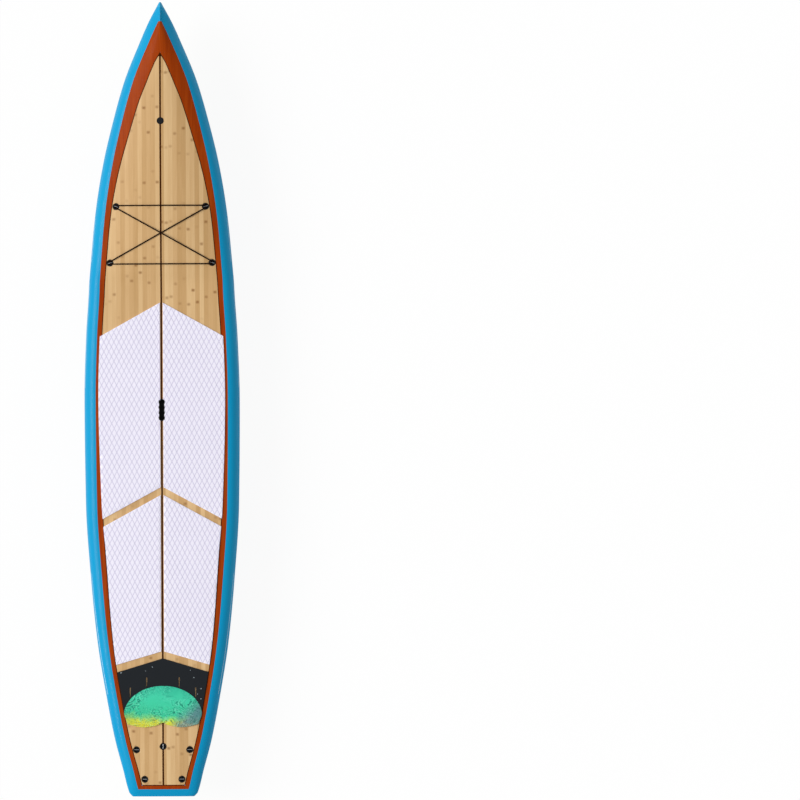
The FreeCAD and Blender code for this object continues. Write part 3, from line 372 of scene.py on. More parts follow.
class Graph:
    """A material with its Principled shader, and short calls for the nodes that feed it."""

    def __init__(self, name, roughness, metallic=0.0, coat=0.0, coat_roughness=0.1, sheen=0.0,
                 specular=0.5):
        self.material = bpy.data.materials.new(name)
        self.material.use_nodes = True
        self.nodes = self.material.node_tree.nodes
        self.links = self.material.node_tree.links
        self.shader = self.nodes["Principled BSDF"]
        self.shader.inputs["Roughness"].default_value = roughness
        self.shader.inputs["Metallic"].default_value = metallic
        self.shader.inputs["Coat Weight"].default_value = coat
        self.shader.inputs["Coat Roughness"].default_value = coat_roughness
        self.shader.inputs["Sheen Weight"].default_value = sheen
        self.shader.inputs["Specular IOR Level"].default_value = specular
        self.place = self.nodes.new("ShaderNodeTexCoord").outputs["Object"]
        axes = self.nodes.new("ShaderNodeSeparateXYZ")
        self.links.new(self.place, axes.inputs[0])
        self.x, self.y, self.z = [Value(self, out) for out in axes.outputs]

    def feed(self, socket, value):
        if isinstance(value, Value):
            self.links.new(value.socket, socket)
        elif isinstance(value, bpy.types.NodeSocket):
            self.links.new(value, socket)
        else:
            socket.default_value = value

    def math(self, operation, *terms):
        node = self.nodes.new("ShaderNodeMath")
        node.operation = operation
        for socket, term in zip(node.inputs, terms):
            self.feed(socket, term)
        return Value(self, node.outputs[0])

    def stretched(self, across, along, up):
        """The place with each axis scaled."""
        node = self.nodes.new("ShaderNodeMapping")
        node.inputs["Scale"].default_value = (across, along, up)
        self.links.new(self.place, node.inputs["Vector"])
        return node.outputs[0]

    def noise(self, scale, detail=2.0, roughness=0.5, distortion=0.0, vector=None):
        node = self.nodes.new("ShaderNodeTexNoise")
        node.inputs["Scale"].default_value = scale
        node.inputs["Detail"].default_value = detail
        node.inputs["Roughness"].default_value = roughness
        node.inputs["Distortion"].default_value = distortion
        self.links.new(vector or self.place, node.inputs["Vector"])
        return Value(self, node.outputs[0])

    def random(self, value):
        """A random number that stays the same for the same value."""
        node = self.nodes.new("ShaderNodeTexWhiteNoise")
        node.noise_dimensions = "1D"
        self.feed(node.inputs["W"], value)
        return Value(self, node.outputs["Value"])

    def spots(self, scale):
        """Distance to the nearest of many scattered points, and a random number for each point."""
        node = self.nodes.new("ShaderNodeTexVoronoi")
        node.inputs["Scale"].default_value = scale
        self.links.new(self.place, node.inputs["Vector"])
        axes = self.nodes.new("ShaderNodeSeparateXYZ")
        self.links.new(node.outputs["Color"], axes.inputs[0])
        return Value(self, node.outputs["Distance"]), Value(self, axes.outputs[0])

    def mix(self, factor, first, second):
        node = self.nodes.new("ShaderNodeMix")
        node.data_type = "RGBA"
        self.feed(node.inputs[0], factor)
        self.feed(node.inputs[6], first)
        self.feed(node.inputs[7], second)
        return node.outputs[2]

    def ramp(self, value, *stops):
        """Colours between (place, code) stops."""
        node = self.nodes.new("ShaderNodeValToRGB")
        elements = node.color_ramp.elements
        while len(elements) < len(stops):
            elements.new(1.0)
        for element, (place, code) in zip(elements, stops):
            element.position = place
            element.color = colour(code)
        self.feed(node.inputs[0], value)
        return node.outputs[0]

    def spread(self, value, low, high):
        """0 at low and 1 at high."""
        node = self.nodes.new("ShaderNodeMapRange")
        self.feed(node.inputs["Value"], value)
        node.inputs["From Min"].default_value = low
        node.inputs["From Max"].default_value = high
        return Value(self, node.outputs[0])

    def bump(self, height, distance, strength=1.0):
        node = self.nodes.new("ShaderNodeBump")
        node.inputs["Distance"].default_value = distance
        node.inputs["Strength"].default_value = strength
        self.feed(node.inputs["Height"], height)
        self.links.new(node.outputs[0], self.shader.inputs["Normal"])

    def finish(self, base):
        self.feed(self.shader.inputs["Base Color"], base)
        return self.material


# The painted marks are in metres, like the places that a shader reads.
HULL_END = NOSE_END * MM
RAIL_BLUES, TAIL_YELLOW, NOSE_YELLOW = ("008fc0", "0298c6"), "aebd10", "d3de45"
FIBRE_BLUE, PALE_LINE = "0a76b4", "d9eef5"
CAP_SPLIT, CAP_SPLIT_RISE = 0.132, 0.014
SLASHES = ((0.418, 0.368), (0.250, 0.200), (0.088, 0.034))
SLASH_INNER, SLASH_OUTER, SLASH_HALF = 0.285, 0.366, 0.0085
SIDE_LINES = ((0.66, 0.87, 0.118), (0.055, 0.565, 0.113), (0.055, 0.565, 0.070))
SIDE_LINE_HALF, RAIL_INNER = 0.0013, 0.20
SLANT_TAIL, SLANT_NOSE, SLANT_HEIGHT, SLANT_RISE, SLANT_HALF = -1.415, -0.835, 0.142, -0.018, 0.0011
PANEL_HALF, PANEL_BACK, PANEL_FRONT = 0.258, -0.128, 0.602
BIG_CHEVRON = (-1.032, 0.205, 0.292, 0.058)
SMALL_CHEVRONS, SMALL_CHEVRON = (1.600, 1.401, 1.361), (0.034, 0.049, 0.0085)


def chevron(g, apex, sweep, reach, stroke):
    """Mask of a chevron: its outer point at apex, falling by sweep at reach, stroke thick along Y."""
    line = g.y + g.x.size() * (sweep / reach) - apex
    return line.within(-stroke, 0.0) * g.x.size().under(reach)


def rail_slashes(g):
    """Mask of the three short dark strokes on each side, near the middle of the hull."""
    masks = None
    for start, end in SLASHES:
        reach = g.spread(g.x.size(), SLASH_INNER, SLASH_OUTER)
        centre = reach * (end - start) + start
        line = (g.y - centre).size().under(SLASH_HALF) * g.x.size().over(SLASH_INNER)
        masks = line if masks is None else masks.most(line)
    return masks


def side_lines(g):
    """Mask of the thin pale lines along the rail."""
    rail = g.x.size().over(RAIL_INNER)
    masks = None
    for low, high, height in SIDE_LINES:
        line = (g.z - height).size().under(SIDE_LINE_HALF) * g.y.within(low, high) * rail
        masks = line if masks is None else masks.most(line)
    slant = g.z - g.spread(g.y, SLANT_TAIL, SLANT_NOSE) * SLANT_RISE - SLANT_HEIGHT
    return masks.most(slant.size().under(SLANT_HALF) * g.y.within(SLANT_TAIL, SLANT_NOSE) * rail)


def fibred(g, base):
    """A paint with the faint darker grain of the cloth under it."""
    return g.mix(g.noise(900.0, 1.0) * 0.08, base, colour(FIBRE_BLUE))


def lined(g, base):
    """A finished hull paint with its pale side lines and the lacquer's fine ripple."""
    base = g.mix(side_lines(g) * 0.85, base, colour(PALE_LINE))
    g.bump(g.noise(260.0, 2.0), 0.0001, 0.3)
    return g.finish(base)


def rail_paint():
    g = Graph("rail_lacquer", roughness=0.40, coat=0.05, coat_roughness=0.1, specular=0.10)
    base = g.mix(g.noise(3.0, 2.0), colour(RAIL_BLUES[0]), colour(RAIL_BLUES[1]))
    return lined(g, fibred(g, base))


def bottom_paint():
    g = Graph("bottom_lacquer", roughness=0.40, coat=0.06, coat_roughness=0.1, specular=0.14)
    drift = (g.noise(2.2, 3.0) - 0.5) * 0.10
    along = g.spread(g.y + drift, -HULL_END, HULL_END)
    base = g.ramp(
        along, (0.0, TAIL_YELLOW), (0.035, "9dba10"), (0.058, "3fa65a"), (0.085, "0c9c8a"),
        (0.13, "0095c2"), (0.78, "0093c6"), (0.835, "00939f"), (0.875, "129b72"), (0.915, "5db04a"),
        (0.955, "bcc61a"), (1.0, NOSE_YELLOW),
    )
    base = fibred(g, base)
    # a marbled panel in the front half of the hull
    swirl = g.noise(4.5, 6.0, 0.6, 1.6)
    veins = g.noise(13.0, 8.0, 0.7, 3.0)
    marble = g.ramp(
        swirl * 0.6 + veins * 0.4, (0.30, "0c2440"), (0.42, "0a4a63"), (0.50, "0e8f8d"),
        (0.56, "16607c"), (0.62, "37b894"), (0.70, "0d3a58"),
    )
    panel = g.x.size().under(PANEL_HALF) * g.y.within(PANEL_BACK, PANEL_FRONT)
    base = g.mix(panel, base, marble)
    base = g.mix(chevron(g, *BIG_CHEVRON), base, colour("22384e"))
    base = g.mix(rail_slashes(g), base, colour("14222e"))
    for apex in SMALL_CHEVRONS:
        base = g.mix(chevron(g, apex, *SMALL_CHEVRON), base, colour("eef7f4"))
    return lined(g, base)


def cap_paint():
    """The hull's two ends: the rails' blue above the widest line and the bottom's yellow below it."""
    g = Graph("cap_lacquer", roughness=0.40, coat=0.05, coat_roughness=0.1, specular=0.10)
    along = g.spread(g.y, -HULL_END, HULL_END)
    upper = g.ramp(along, (0.0, RAIL_BLUES[0]), (1.0, RAIL_BLUES[1]))
    lower = g.ramp(along, (0.0, TAIL_YELLOW), (1.0, NOSE_YELLOW))
    below = (g.z - along * CAP_SPLIT_RISE - CAP_SPLIT).under(0.0)
    return g.finish(g.mix(below, upper, lower))


def bamboo():
    """Narrow lengthwise strips, each with its own tone, fine fibres and short brown nodes."""
    g = Graph("bamboo_veneer", roughness=0.45, coat=0.12, coat_roughness=0.15, specular=0.25)
    strip_width, node_pitch = 0.021, 0.36
    across = (g.x + 2.0) / strip_width
    strip = across.whole()
    tone = g.random(strip * 7.3)
    fibre = g.noise(1.0, 4.0, 0.6, 0.3, g.stretched(620.0, 9.0, 1.0))
    broad = g.noise(1.0, 3.0, 0.5, 0.8, g.stretched(22.0, 1.6, 1.0))
    grain = tone * 0.35 + fibre * 0.35 + broad * 0.30
    base = g.ramp(grain, (0.25, "bb935e"), (0.50, "cda673"), (0.75, "dfbd8b"))
    seam = (across.part() - 0.5).size().over(0.47)
    base = g.mix(seam * 0.14, base, colour("94683a"))
    along = (g.y + g.random(strip + 0.37) * 3.0) / node_pitch
    wobble = (g.noise(90.0, 2.0) - 0.5) * 0.010
    length = g.spread((along.part() - 0.5 + wobble).size(), 0.028, 0.006)
    width = g.spread((across.part() - 0.5 + wobble * 12.0).size(), 0.55, 0.15)
    chance = g.random(along.whole() + strip * 1.7)
    base = g.mix(length * width * (chance * 0.7 + 0.1), base, colour("855828"))
    g.bump(fibre, 0.0001, 0.4)
    return g.finish(base)


def border_wood():
    g = Graph("border_veneer_wood", roughness=0.55, coat=0.02, coat_roughness=0.15, specular=0.06)
    fibre = g.noise(1.0, 5.0, 0.65, 0.6, g.stretched(420.0, 7.0, 1.0))
    broad = g.noise(1.0, 2.0, 0.5, 1.2, g.stretched(40.0, 2.5, 1.0))
    base = g.ramp(fibre * 0.55 + broad * 0.45, (0.30, "842b00"), (0.50, "983800"), (0.72, "a94608"))
    g.bump(fibre, 0.0001, 0.4)
    return g.finish(base)


def dark_inlay():
    g = Graph("dark_inlay_wood", roughness=0.65, specular=0.02)
    fibre = g.noise(1.0, 4.0, 0.6, 0.3, g.stretched(700.0, 14.0, 1.0))
    base = g.ramp(fibre, (0.3, "2a0d00"), (0.7, "4c2404"))
    g.bump(fibre, 0.0001, 0.3)
    return g.finish(base)


def foam_sheet(name, pale, deep, speck=None):
    """Closed-cell foam sheet with a fine skin grain, and scattered pale specks if it has any."""
    g = Graph(name, roughness=0.88, sheen=0.05, specular=0.15)
    cells = g.noise(1400.0, 2.0)
    wear = g.noise(6.0, 3.0)
    base = g.mix(cells * 0.5 + wear * 0.4, colour(pale), colour(deep))
    if speck:
        spots, chance = g.spots(60.0)
        base = g.mix(spots.under(0.15) * chance.over(0.90), base, colour(speck))
    g.bump(cells, 0.0003, 0.5)
    return g.finish(base)


def dome_foam():
    """Teal foam that runs out to yellow along its lower edge, with fine wavy veins."""
    g = Graph("dome_foam", roughness=0.84, sheen=0.05, specular=0.15)
    flow = g.noise(9.0, 4.0, 0.6, 1.2)
    low = g.spread(g.y + g.x * 0.04 + (flow - 0.5) * 0.10, DOME_LOBE * MM, DOME_TOP * MM)
    base = g.ramp(
        low, (0.0, "e0d72a"), (0.10, "d2dc3c"), (0.19, "7fd67c"), (0.32, "3cc998"),
        (0.70, "43cfa6"), (1.0, "2fb392"),
    )
    # the lower starboard lobe runs out to a dull violet
    violet = g.spread(g.x * 0.9 - g.y + (flow - 0.5) * 0.12, 1.575, 1.640)
    base = g.mix(violet * 0.75, base, colour("6c6a8e"))
    contour = (g.noise(7.0, 4.0, 0.55, 2.2) * 16.0).part()
    lines = g.spread((contour - 0.5).size(), 0.16, 0.06)
    patch = g.spread(g.noise(6.0, 2.0), 0.30, 0.46)
    base = g.mix(lines * patch * 0.8, base, colour("0b5d55"))
    pale = g.spread((contour - 0.2).size(), 0.10, 0.03)
    base = g.mix(pale * patch * 0.5, base, colour("8fe6cf"))
    # painted shade: both shoulders fall away darker, as the shading on a ball
    painted_shade_edge = g.spread(g.x.size(), 0.120, 0.190)
    base = g.mix(painted_shade_edge * 0.35, base, colour("12705f"))
    g.bump(g.noise(1400.0, 2.0), 0.0003, 0.5)
    return g.finish(base)


def moulded(name, low, high, roughness=0.45):
    """Moulded plastic or rubber with a fine tool texture."""
    g = Graph(name, roughness=roughness, specular=0.12)
    base = g.mix(g.noise(40.0, 3.0), colour(low), colour(high))
    g.bump(g.noise(1800.0, 2.0), 0.0001, 0.4)
    return g.finish(base)


def fin_plastic():
    """Black moulded plastic with rows of thin grey chevrons and a plain two-tone label."""
    g = Graph("fin_plastic", roughness=0.34, coat=0.08, coat_roughness=0.2, specular=0.25)
    base = g.mix(g.noise(40.0, 3.0), colour("0d0d0f"), colour("18191c"))
    root_height, chevron_width, chevron_rise, row_pitch = 0.062, 0.021, 0.020, 0.0115
    field_back, field_front, label_back, label_front = -1.6345, -1.5505, -1.64, -1.56
    depth = g.z * -1.0 + root_height
    cell = ((g.y + 1.6555) / chevron_width).part() - 0.5
    arms = depth + cell.size() * chevron_rise
    rows = ((arms / row_pitch).part() - 0.5).size().under(0.075)
    field = g.y.within(field_back, field_front) * depth.within(0.028, 0.062)
    base = g.mix(rows * field * 0.8, base, colour("8d9398"))
    slant = g.y + depth * 0.55
    label = depth.within(0.008, 0.024) * slant.within(label_back, label_front)
    fade = g.ramp(g.spread(g.y, label_back, label_front), (0.0, "3aa7b8"), (1.0, "7ed2cf"))
    base = g.mix(label, base, fade)
    g.bump(g.noise(900.0, 2.0), 0.0001, 0.3)
    return g.finish(base)


def metal(name, low, high, roughness):
    g = Graph(name, roughness=roughness, metallic=1.0)
    brushed = g.noise(1.0, 3.0, 0.6, 0.0, g.stretched(900.0, 900.0, 60.0))
    base = g.mix(brushed, colour(low), colour(high))
    g.bump(brushed, 0.0001, 0.15)
    return g.finish(base)


def braid():
    """Dark braided cord cover."""
    g = Graph("bungee_braid", roughness=0.85, specular=0.03)
    strand = 0.0022
    one = (((g.x + g.y) / strand).part() - 0.5).size()
    other = (((g.x - g.y) / strand).part() - 0.5).size()
    weave = one.most(other)
    base = g.mix(weave, colour("140a07"), colour("2c1a13"))
    g.bump(weave, 0.0004, 0.6)
    return g.finish(base)


def grained_wood(name, low, high):
    g = Graph(name, roughness=0.6)
    fibre = g.noise(1.0, 4.0, 0.6, 0.4, g.stretched(300.0, 8.0, 300.0))
    g.bump(fibre, 0.0002, 0.4)
    return g.finish(g.ramp(fibre, (0.3, low), (0.7, high)))


MATERIALS = {
    "rail_paint": rail_paint(),
    "bottom_paint": bottom_paint(),
    "cap_paint": cap_paint(),
    "bamboo": bamboo(),
    "border_wood": border_wood(),
    "dark_inlay": dark_inlay(),
    "pad_foam": foam_sheet("pad_foam", "f4f1fc", "e9e5f5"),
    # painted shade: the groove walls get a darker foam for the shade inside the grooves
    "groove_shade": foam_sheet("groove_shade_foam", "d6d1e6", "cac5dc"),
    "tail_foam": foam_sheet("tail_foam", "1e2226", "16191d", "a8b4ba"),
    "dome_foam": dome_foam(),
    "black_plastic": moulded("black_nylon", "0c0c0e", "17181a"),
    "black_rubber": moulded("black_rubber", "101011", "1a1a1b", 0.75),
    "fin_plastic": fin_plastic(),
    "steel": metal("stainless_steel", "7c7e80", "989a9c", 0.32),
    "brass": metal("pin_brass", "b08a3c", "cfa95a", 0.32),
    "bungee_cord": braid(),
    "foam": moulded("bead_foam", "efefec", "fafaf8", 0.9),
    "dense_foam": moulded("dense_foam", "d8cda0", "e6dcb4", 0.85),
    "stringer_wood": grained_wood("stringer_wood", "a97d4c", "cda26c"),
    "membrane": moulded("vent_membrane", "e4e4e2", "f4f4f2", 0.8),
}


def dressed(item, slot):
    """Gives a piece the material of its slot in the record."""
    item.data.materials.clear()
    item.data.materials.append(MATERIALS[slot])


# ---------------------------------------------------------------- outlines on the deck

BAMBOO_INSET = [
    (-1849, 75), (-1445, 74), (-700, 84), (300, 80), (854, 79), (1046, 84), (1237, 95),
    (1429, 104), (1525, 113), (1621, 117),
]
PAD_LAP = [(-700, 0), (-487, 6), (0, 12), (468, 12)]
BAMBOO_TAIL, BAMBOO_NOSE, BAMBOO_END = -1849.0, 1656.0, 1644.0
BORDER_TAIL, BORDER_NOSE = -1870.0, 1812.0
PINLINE, STRIP = 4.0, 4.0
PINLINE_NOSE, PINLINE_END = 1664.0, 1662.0
GAP = 7.0


def border_reach(place):
    return offset("half_width", place) - offset("shoulder", place)


def bamboo_reach(place):
    last, inset = BAMBOO_INSET[-1]
    if place > last:
        end = offset("half_width", last) - inset
        return end * max(0.0, (BAMBOO_NOSE - place) / (BAMBOO_NOSE - last))
    return offset("half_width", place) - smooth(BAMBOO_INSET, place)


def pinline_reach(place):
    last = BAMBOO_INSET[-1][0]
    if place > last:
        end = bamboo_reach(last) + PINLINE
        return end * max(0.0, (PINLINE_NOSE - place) / (PINLINE_NOSE - last))
    return bamboo_reach(place) + PINLINE


def pad_reach(place):
    return bamboo_reach(place) + smooth(PAD_LAP, place)


def strip_section(inner, outer, top, bottom, side=1, count=8):
    """Ring function of a deck layer between two reach functions on one side."""
    def ring(place):
        return deck_ring(place, top, bottom, side * inner(place), side * outer(place), count)
    return ring


def across_section(reach, top, bottom, count=20):
    return strip_section(lambda place: -reach(place), reach, top, bottom, 1, count)


# ---------------------------------------------------------------- hull and veneers

SIDES = ((1, "starboard"), (-1, "port"))
CUP_HOLE, VENT_HOLE, HANDLE_LOBE = 15.4, 14.0, 14.0
HANDLE_LOBES, HANDLE_PITCH, HANDLE_WAIST, HANDLE_STEPS = 4, 25.0, 11.5, 12


def round_outline(centre, radius, count=40):
    turns = [2 * math.pi * i / count for i in range(count)]
    return [(centre[0] + radius * math.cos(t), centre[1] + radius * math.sin(t)) for t in turns]


def middle_of(node):
    low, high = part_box(node)
    return (low + high) / 2 / MM


def hole_tools():
    """Upright tools where the hardware passes through the deck."""
    tools = []
    cups = [name for name in frame["nodes"] if name.startswith("cup_") or name == "leash_cup"]
    for name in sorted(cups):
        tools.append(prism(round_outline(middle_of(name), CUP_HOLE)))
    tools.append(prism(round_outline(middle_of("vent_insert"), VENT_HOLE)))
    return tools


def handle_tool():
    """One upright tool with the handle's four lobes."""
    centre = middle_of("handle_cup")
    waist = math.acos(HANDLE_WAIST / HANDLE_LOBE)
    half = []
    for index in range(HANDLE_LOBES):
        y = centre.y + (index - (HANDLE_LOBES - 1) / 2) * HANDLE_PITCH
        first = -math.pi / 2 if index == 0 else -waist
        last = math.pi / 2 if index == HANDLE_LOBES - 1 else waist
        for step in range(HANDLE_STEPS + 1):
            turn = first + (last - first) * step / HANDLE_STEPS
            half.append((centre.x + HANDLE_LOBE * math.cos(turn), y + HANDLE_LOBE * math.sin(turn)))
    inner = [(2 * centre.x - x, y) for x, y in reversed(half)]
    return prism(half + inner[1:-1])


holes = hole_tools()
grip = handle_tool()


def pierced(item, tools):
    """Cuts an object with each tool that reaches it."""
    for tool in tools:
        low, high = Vector(tool.bound_box[0]), Vector(tool.bound_box[6])
        start, end = Vector(item.bound_box[0]), Vector(item.bound_box[6])
        clear = high.x < start.x or low.x > end.x or high.y < start.y or low.y > end.y
        if not clear:
            boolean(item, tool, "DIFFERENCE")
    return item


def on_board(item, slot, *nodes):
    """Dresses a piece of the board's own body and lets it stand for its CAD nodes."""
    dressed(item, slot)
    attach(item, "board")
    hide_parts(*nodes)


tail, nose = TAIL_CAP_END + BOND, NOSE_CAP_START - BOND
tail_shell = lofted("tail_shell", (full_ring, TAIL_END, TAIL_CAP_END))
nose_shell = lofted("nose_shell", (full_ring, NOSE_CAP_START, NOSE_END))
for shell, node in ((tail_shell, "tail_cap"), (nose_shell, "nose_cap")):
    on_board(shell, "rail_paint", node)
    shell.data.materials[0] = MATERIALS["cap_paint"]

fin_low, fin_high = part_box("fin_box")
FIN_BOX_HALF, FIN_BOX_SIDE_LAP, FIN_BOX_END_LAP = 13.5, 0.1, 1


def stadium(half_width, start, end, count=16):
    """Plan outline of a slot along Y with round ends."""
    points = []
    for centre, first in ((end - half_width, 0.0), (start + half_width, math.pi)):
        for step in range(count + 1):
            turn = first + math.pi * step / count
            points.append((half_width * math.cos(turn), centre + half_width * math.sin(turn)))
    return points


bottom = lofted("bottom_shell", (bottom_ring, tail, nose))
hole_start, hole_end = fin_low.y / MM + FIN_BOX_END_LAP, fin_high.y / MM - FIN_BOX_END_LAP
hole_plan = stadium(FIN_BOX_HALF - FIN_BOX_SIDE_LAP, hole_start, hole_end)
fin_hole = prism(hole_plan, BELOW_HULL, IN_HULL)
boolean(bottom, fin_hole, "DIFFERENCE")
on_board(bottom, "bottom_paint", "bottom_skin")
for side, word in SIDES:
    shell = lofted(f"rail_shell_{word}", (lambda place: rail_ring(place, side), tail, nose))
    on_board(shell, "rail_paint", f"rail_skin_{word}")


def laminate_reach(place):
    return border_reach(place) - BOND


under_veneer = across_section(laminate_reach, -VENEER - BOND, -SKIN, 36)
deck_parts = (
    (under_veneer, BORDER_TAIL - BOND, BORDER_NOSE + BOND),
    (across_section(laminate_reach, 0, -SKIN), tail, BORDER_TAIL - 2 * BOND),
    (across_section(laminate_reach, 0, -SKIN), BORDER_NOSE + 2 * BOND, nose),
)
laminate = lofted("deck_laminate", *deck_parts)
on_board(pierced(laminate, holes + [grip]), "rail_paint", "deck_skin")


def bamboo_outer(place):
    return bamboo_reach(place) - BOND / 2


def pinline_inner(place):
    return bamboo_reach(place) + BOND / 2


def pinline_outer(place):
    return pinline_reach(place) - BOND / 2


def border_inner(place):
    return pinline_reach(place) + BOND / 2


def strip_edge(place):
    return STRIP + BOND / 2


def strip_side(place):
    return STRIP - BOND / 2


border_start = BAMBOO_TAIL - PINLINE
border_parts = [
    (across_section(laminate_reach, 0, -VENEER), BORDER_TAIL, border_start),
    (across_section(laminate_reach, 0, -VENEER), PINLINE_NOSE + BOND, BORDER_NOSE),
]
pinline_parts = [
    (across_section(bamboo_outer, 0, -VENEER), border_start + BOND, BAMBOO_TAIL),
    (across_section(pinline_outer, 0, -VENEER, 4), BAMBOO_END + BOND, PINLINE_END),
]
for side, word in SIDES:
    border_section = strip_section(border_inner, laminate_reach, 0, -VENEER, side)
    border_parts.append((border_section, border_start + BOND, PINLINE_NOSE))
    pinline_section = strip_section(pinline_inner, pinline_outer, 0, -VENEER, side, 2)
    pinline_parts.append((pinline_section, BAMBOO_TAIL + BOND, BAMBOO_END))
    section = strip_section(strip_edge, bamboo_outer, 0, -VENEER, side, 18)
    veneer = lofted(f"bamboo_{word}", (section, BAMBOO_TAIL + BOND, BAMBOO_END))
    on_board(pierced(veneer, holes + [grip]), "bamboo", f"bamboo_veneer_{word}")
on_board(lofted("border_wood", *border_parts), "border_wood", "border_veneer")
pinline = lofted("pinline", *pinline_parts)
on_board(pierced(pinline, holes), "dark_inlay", "pinline_inlay")
strip_line = across_section(strip_side, 0, -VENEER, 2)
strip = lofted("centre_line", (strip_line, BAMBOO_TAIL + BOND, BAMBOO_END))
on_board(pierced(strip, holes + [grip]), "dark_inlay", "centre_strip")

# ---------------------------------------------------------------- traction pads

PAD_THICKNESS, DOME_THICKNESS = 5.0, 7.0
PAD_NOSE, PAD_SHOULDER = 468.0, 303.0
SPLIT_FRONT, SPLIT_REAR, SPLIT_SWEEP = -418.0, -455.0, 155.0
PAD_TAIL, TAIL_SWEEP, PANEL_NOSE = -1207.0, 66.0, -1242.0
GROOVE_DEPTH, GROOVE_HALF, GROOVE_MARGIN = 1.3, 1.5, 9.0
CELL_WIDTH, CELL_LENGTH, CELLS_PAST = 24.0, 46.0, 2
PAD_EDGE_STEP, MEET_ROUNDS = 24.0, 30
PAD_BEVEL, PANEL_BEVEL, DOME_BEVEL = 0.7, 0.8, 2.0


def meet(apex, slope, side_reach):
    """Where a swept edge from apex on the centre plane meets the pad's side."""
    place = apex
    for _ in range(MEET_ROUNDS):
        place = apex + slope * side_reach(place)
    return place


def pad_outline(side, nose_apex, shoulder, tail_apex, heel):
    """Plan outline of one pad half."""
    front = (shoulder - nose_apex) / pad_reach(shoulder)
    rear = (heel - tail_apex) / pad_reach(heel)
    high, low = meet(nose_apex, front, pad_reach), meet(tail_apex, rear, pad_reach)
    edge = [(pad_reach(p), p) for p in places_between(low, high, PAD_EDGE_STEP)]
    points = [(GAP, tail_apex + rear * GAP)] + edge + [(GAP, nose_apex + front * GAP)]
    return [(side * x, y) for x, y in points]


def edge_distance(point, outline):
    """Distance from a plan point to the nearest edge of an outline, 0 outside it."""
    nearest, inside = math.inf, False
    for (ax, ay), (bx, by) in zip(outline, outline[1:] + outline[:1]):
        dx, dy = bx - ax, by - ay
        part = ((point[0] - ax) * dx + (point[1] - ay) * dy) / (dx * dx + dy * dy)
        t = max(0.0, min(1.0, part))
        nearest = min(nearest, math.hypot(ax + t * dx - point[0], ay + t * dy - point[1]))
        if (ay > point[1]) != (by > point[1]) and point[0] < ax + (point[1] - ay) * dx / dy:
            inside = not inside
    return nearest if inside else 0.0


def grooved_slab(outline):
    """A foam slab over the outline's extent whose top is cut into diamonds."""
    xs, ys = [p[0] for p in outline], [p[1] for p in outline]
    bm = bmesh.new()
    half_w, half_l = CELL_WIDTH / 2, CELL_LENGTH / 2
    first_i = math.floor(min(xs) / half_w) - CELLS_PAST
    last_i = math.ceil(max(xs) / half_w) + CELLS_PAST
    first_j = math.floor(min(ys) / half_l) - CELLS_PAST
    last_j = math.ceil(max(ys) / half_l) + CELLS_PAST
    shared, low_points = {}, {}

    def top_at(x, y, depth):
        fade = min(1.0, edge_distance((x, y), outline) / GROOVE_MARGIN)
        return bm.verts.new(Vector((x, y, deck_height(x, y, PAD_THICKNESS - depth * fade))) * MM)

    def corner(i, j):
        if (i, j) not in shared:
            shared[i, j] = top_at(i * half_w, j * half_l, GROOVE_DEPTH)
            low = Vector((i * half_w, j * half_l, deck_height(i * half_w, j * half_l, BOND)))
            low_points[i, j] = bm.verts.new(low * MM)
        return shared[i, j]

    inset = GROOVE_HALF * math.hypot(half_w, half_l) / (half_w * half_l)
    uses = {}
    for i in range(first_i, last_i):
        for j in range(first_j, last_j):
            if (i + j) % 2:
                continue
            keys = [(i + 1, j), (i, j + 1), (i - 1, j), (i, j - 1)]
            outer = [corner(*key) for key in keys]
            centre = Vector((i * half_w, j * half_l))
            inner = []
            for key in keys:
                away = Vector((key[0] * half_w, key[1] * half_l)) - centre
                point = centre + away * (1 - inset)
                inner.append(top_at(point.x, point.y, 0.0))
            bm.faces.new(inner)
            for a in range(4):
                b = (a + 1) % 4
                groove = bm.faces.new((outer[a], outer[b], inner[b], inner[a]))
                # the groove walls take the darker foam as painted shade
                groove.material_index = 1
                shares = uses.setdefault(frozenset((keys[a], keys[b])), [])
                shares.append((keys[a], keys[b]))
            bm.faces.new([low_points[key] for key in reversed(keys)])
    for sides in uses.values():
        if len(sides) == 1:
            a, b = sides[0]
            bm.faces.new((shared[b], shared[a], low_points[a], low_points[b]))
    return new_piece("slab", bm, PAD_SMOOTH_ANGLE)


def pad(name, outline, node, tools=()):
    """One grooved pad, its groove walls in a deeper tone as painted shade."""
    slab = grooved_slab(outline)
    slab.name = name
    slab.data.materials.append(MATERIALS["pad_foam"])
    slab.data.materials.append(MATERIALS["groove_shade"])
    plan = prism(outline, BELOW_PADS, ABOVE_PADS)
    boolean(slab, plan, "INTERSECT")
    for tool in tools:
        boolean(slab, tool, "DIFFERENCE")
    discard(plan)
    bevelled(slab, PAD_BEVEL)
    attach(slab, "board")
    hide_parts(node)


for side, word in SIDES:
    front = pad_outline(side, PAD_NOSE, PAD_SHOULDER, SPLIT_FRONT, SPLIT_FRONT - SPLIT_SWEEP)
    pad(f"front_pad_{word}", front, f"pad_front_{word}", [grip])
    rear = pad_outline(side, SPLIT_REAR, SPLIT_REAR - SPLIT_SWEEP, PAD_TAIL, PAD_TAIL - TAIL_SWEEP)
    pad(f"rear_pad_{word}", rear, f"pad_rear_{word}")

# the arch in parts of the half width and the rise, the lobes in parts of the half width and millimetres
DOME_ARCH = [(1.0, 0.0), (0.80, 0.55), (0.42, 0.90), (0.0, 1.0)]
DOME_LOBES = [(0.91, 14), (0.52, 0), (0.16, 9)]
DOME_LAP, DOME_MARGIN, DOME_CLEARANCE = 8.0, 10.0, 0.3
PANEL_LAP, PLAN_MARGIN = 20.0, 50.0
SLOTS = ((78, -1333), (157, -1382))
SLOT_WIDTH, SLOT_LENGTH, SLOT_TAPER = 6.0, 48.0, 0.5


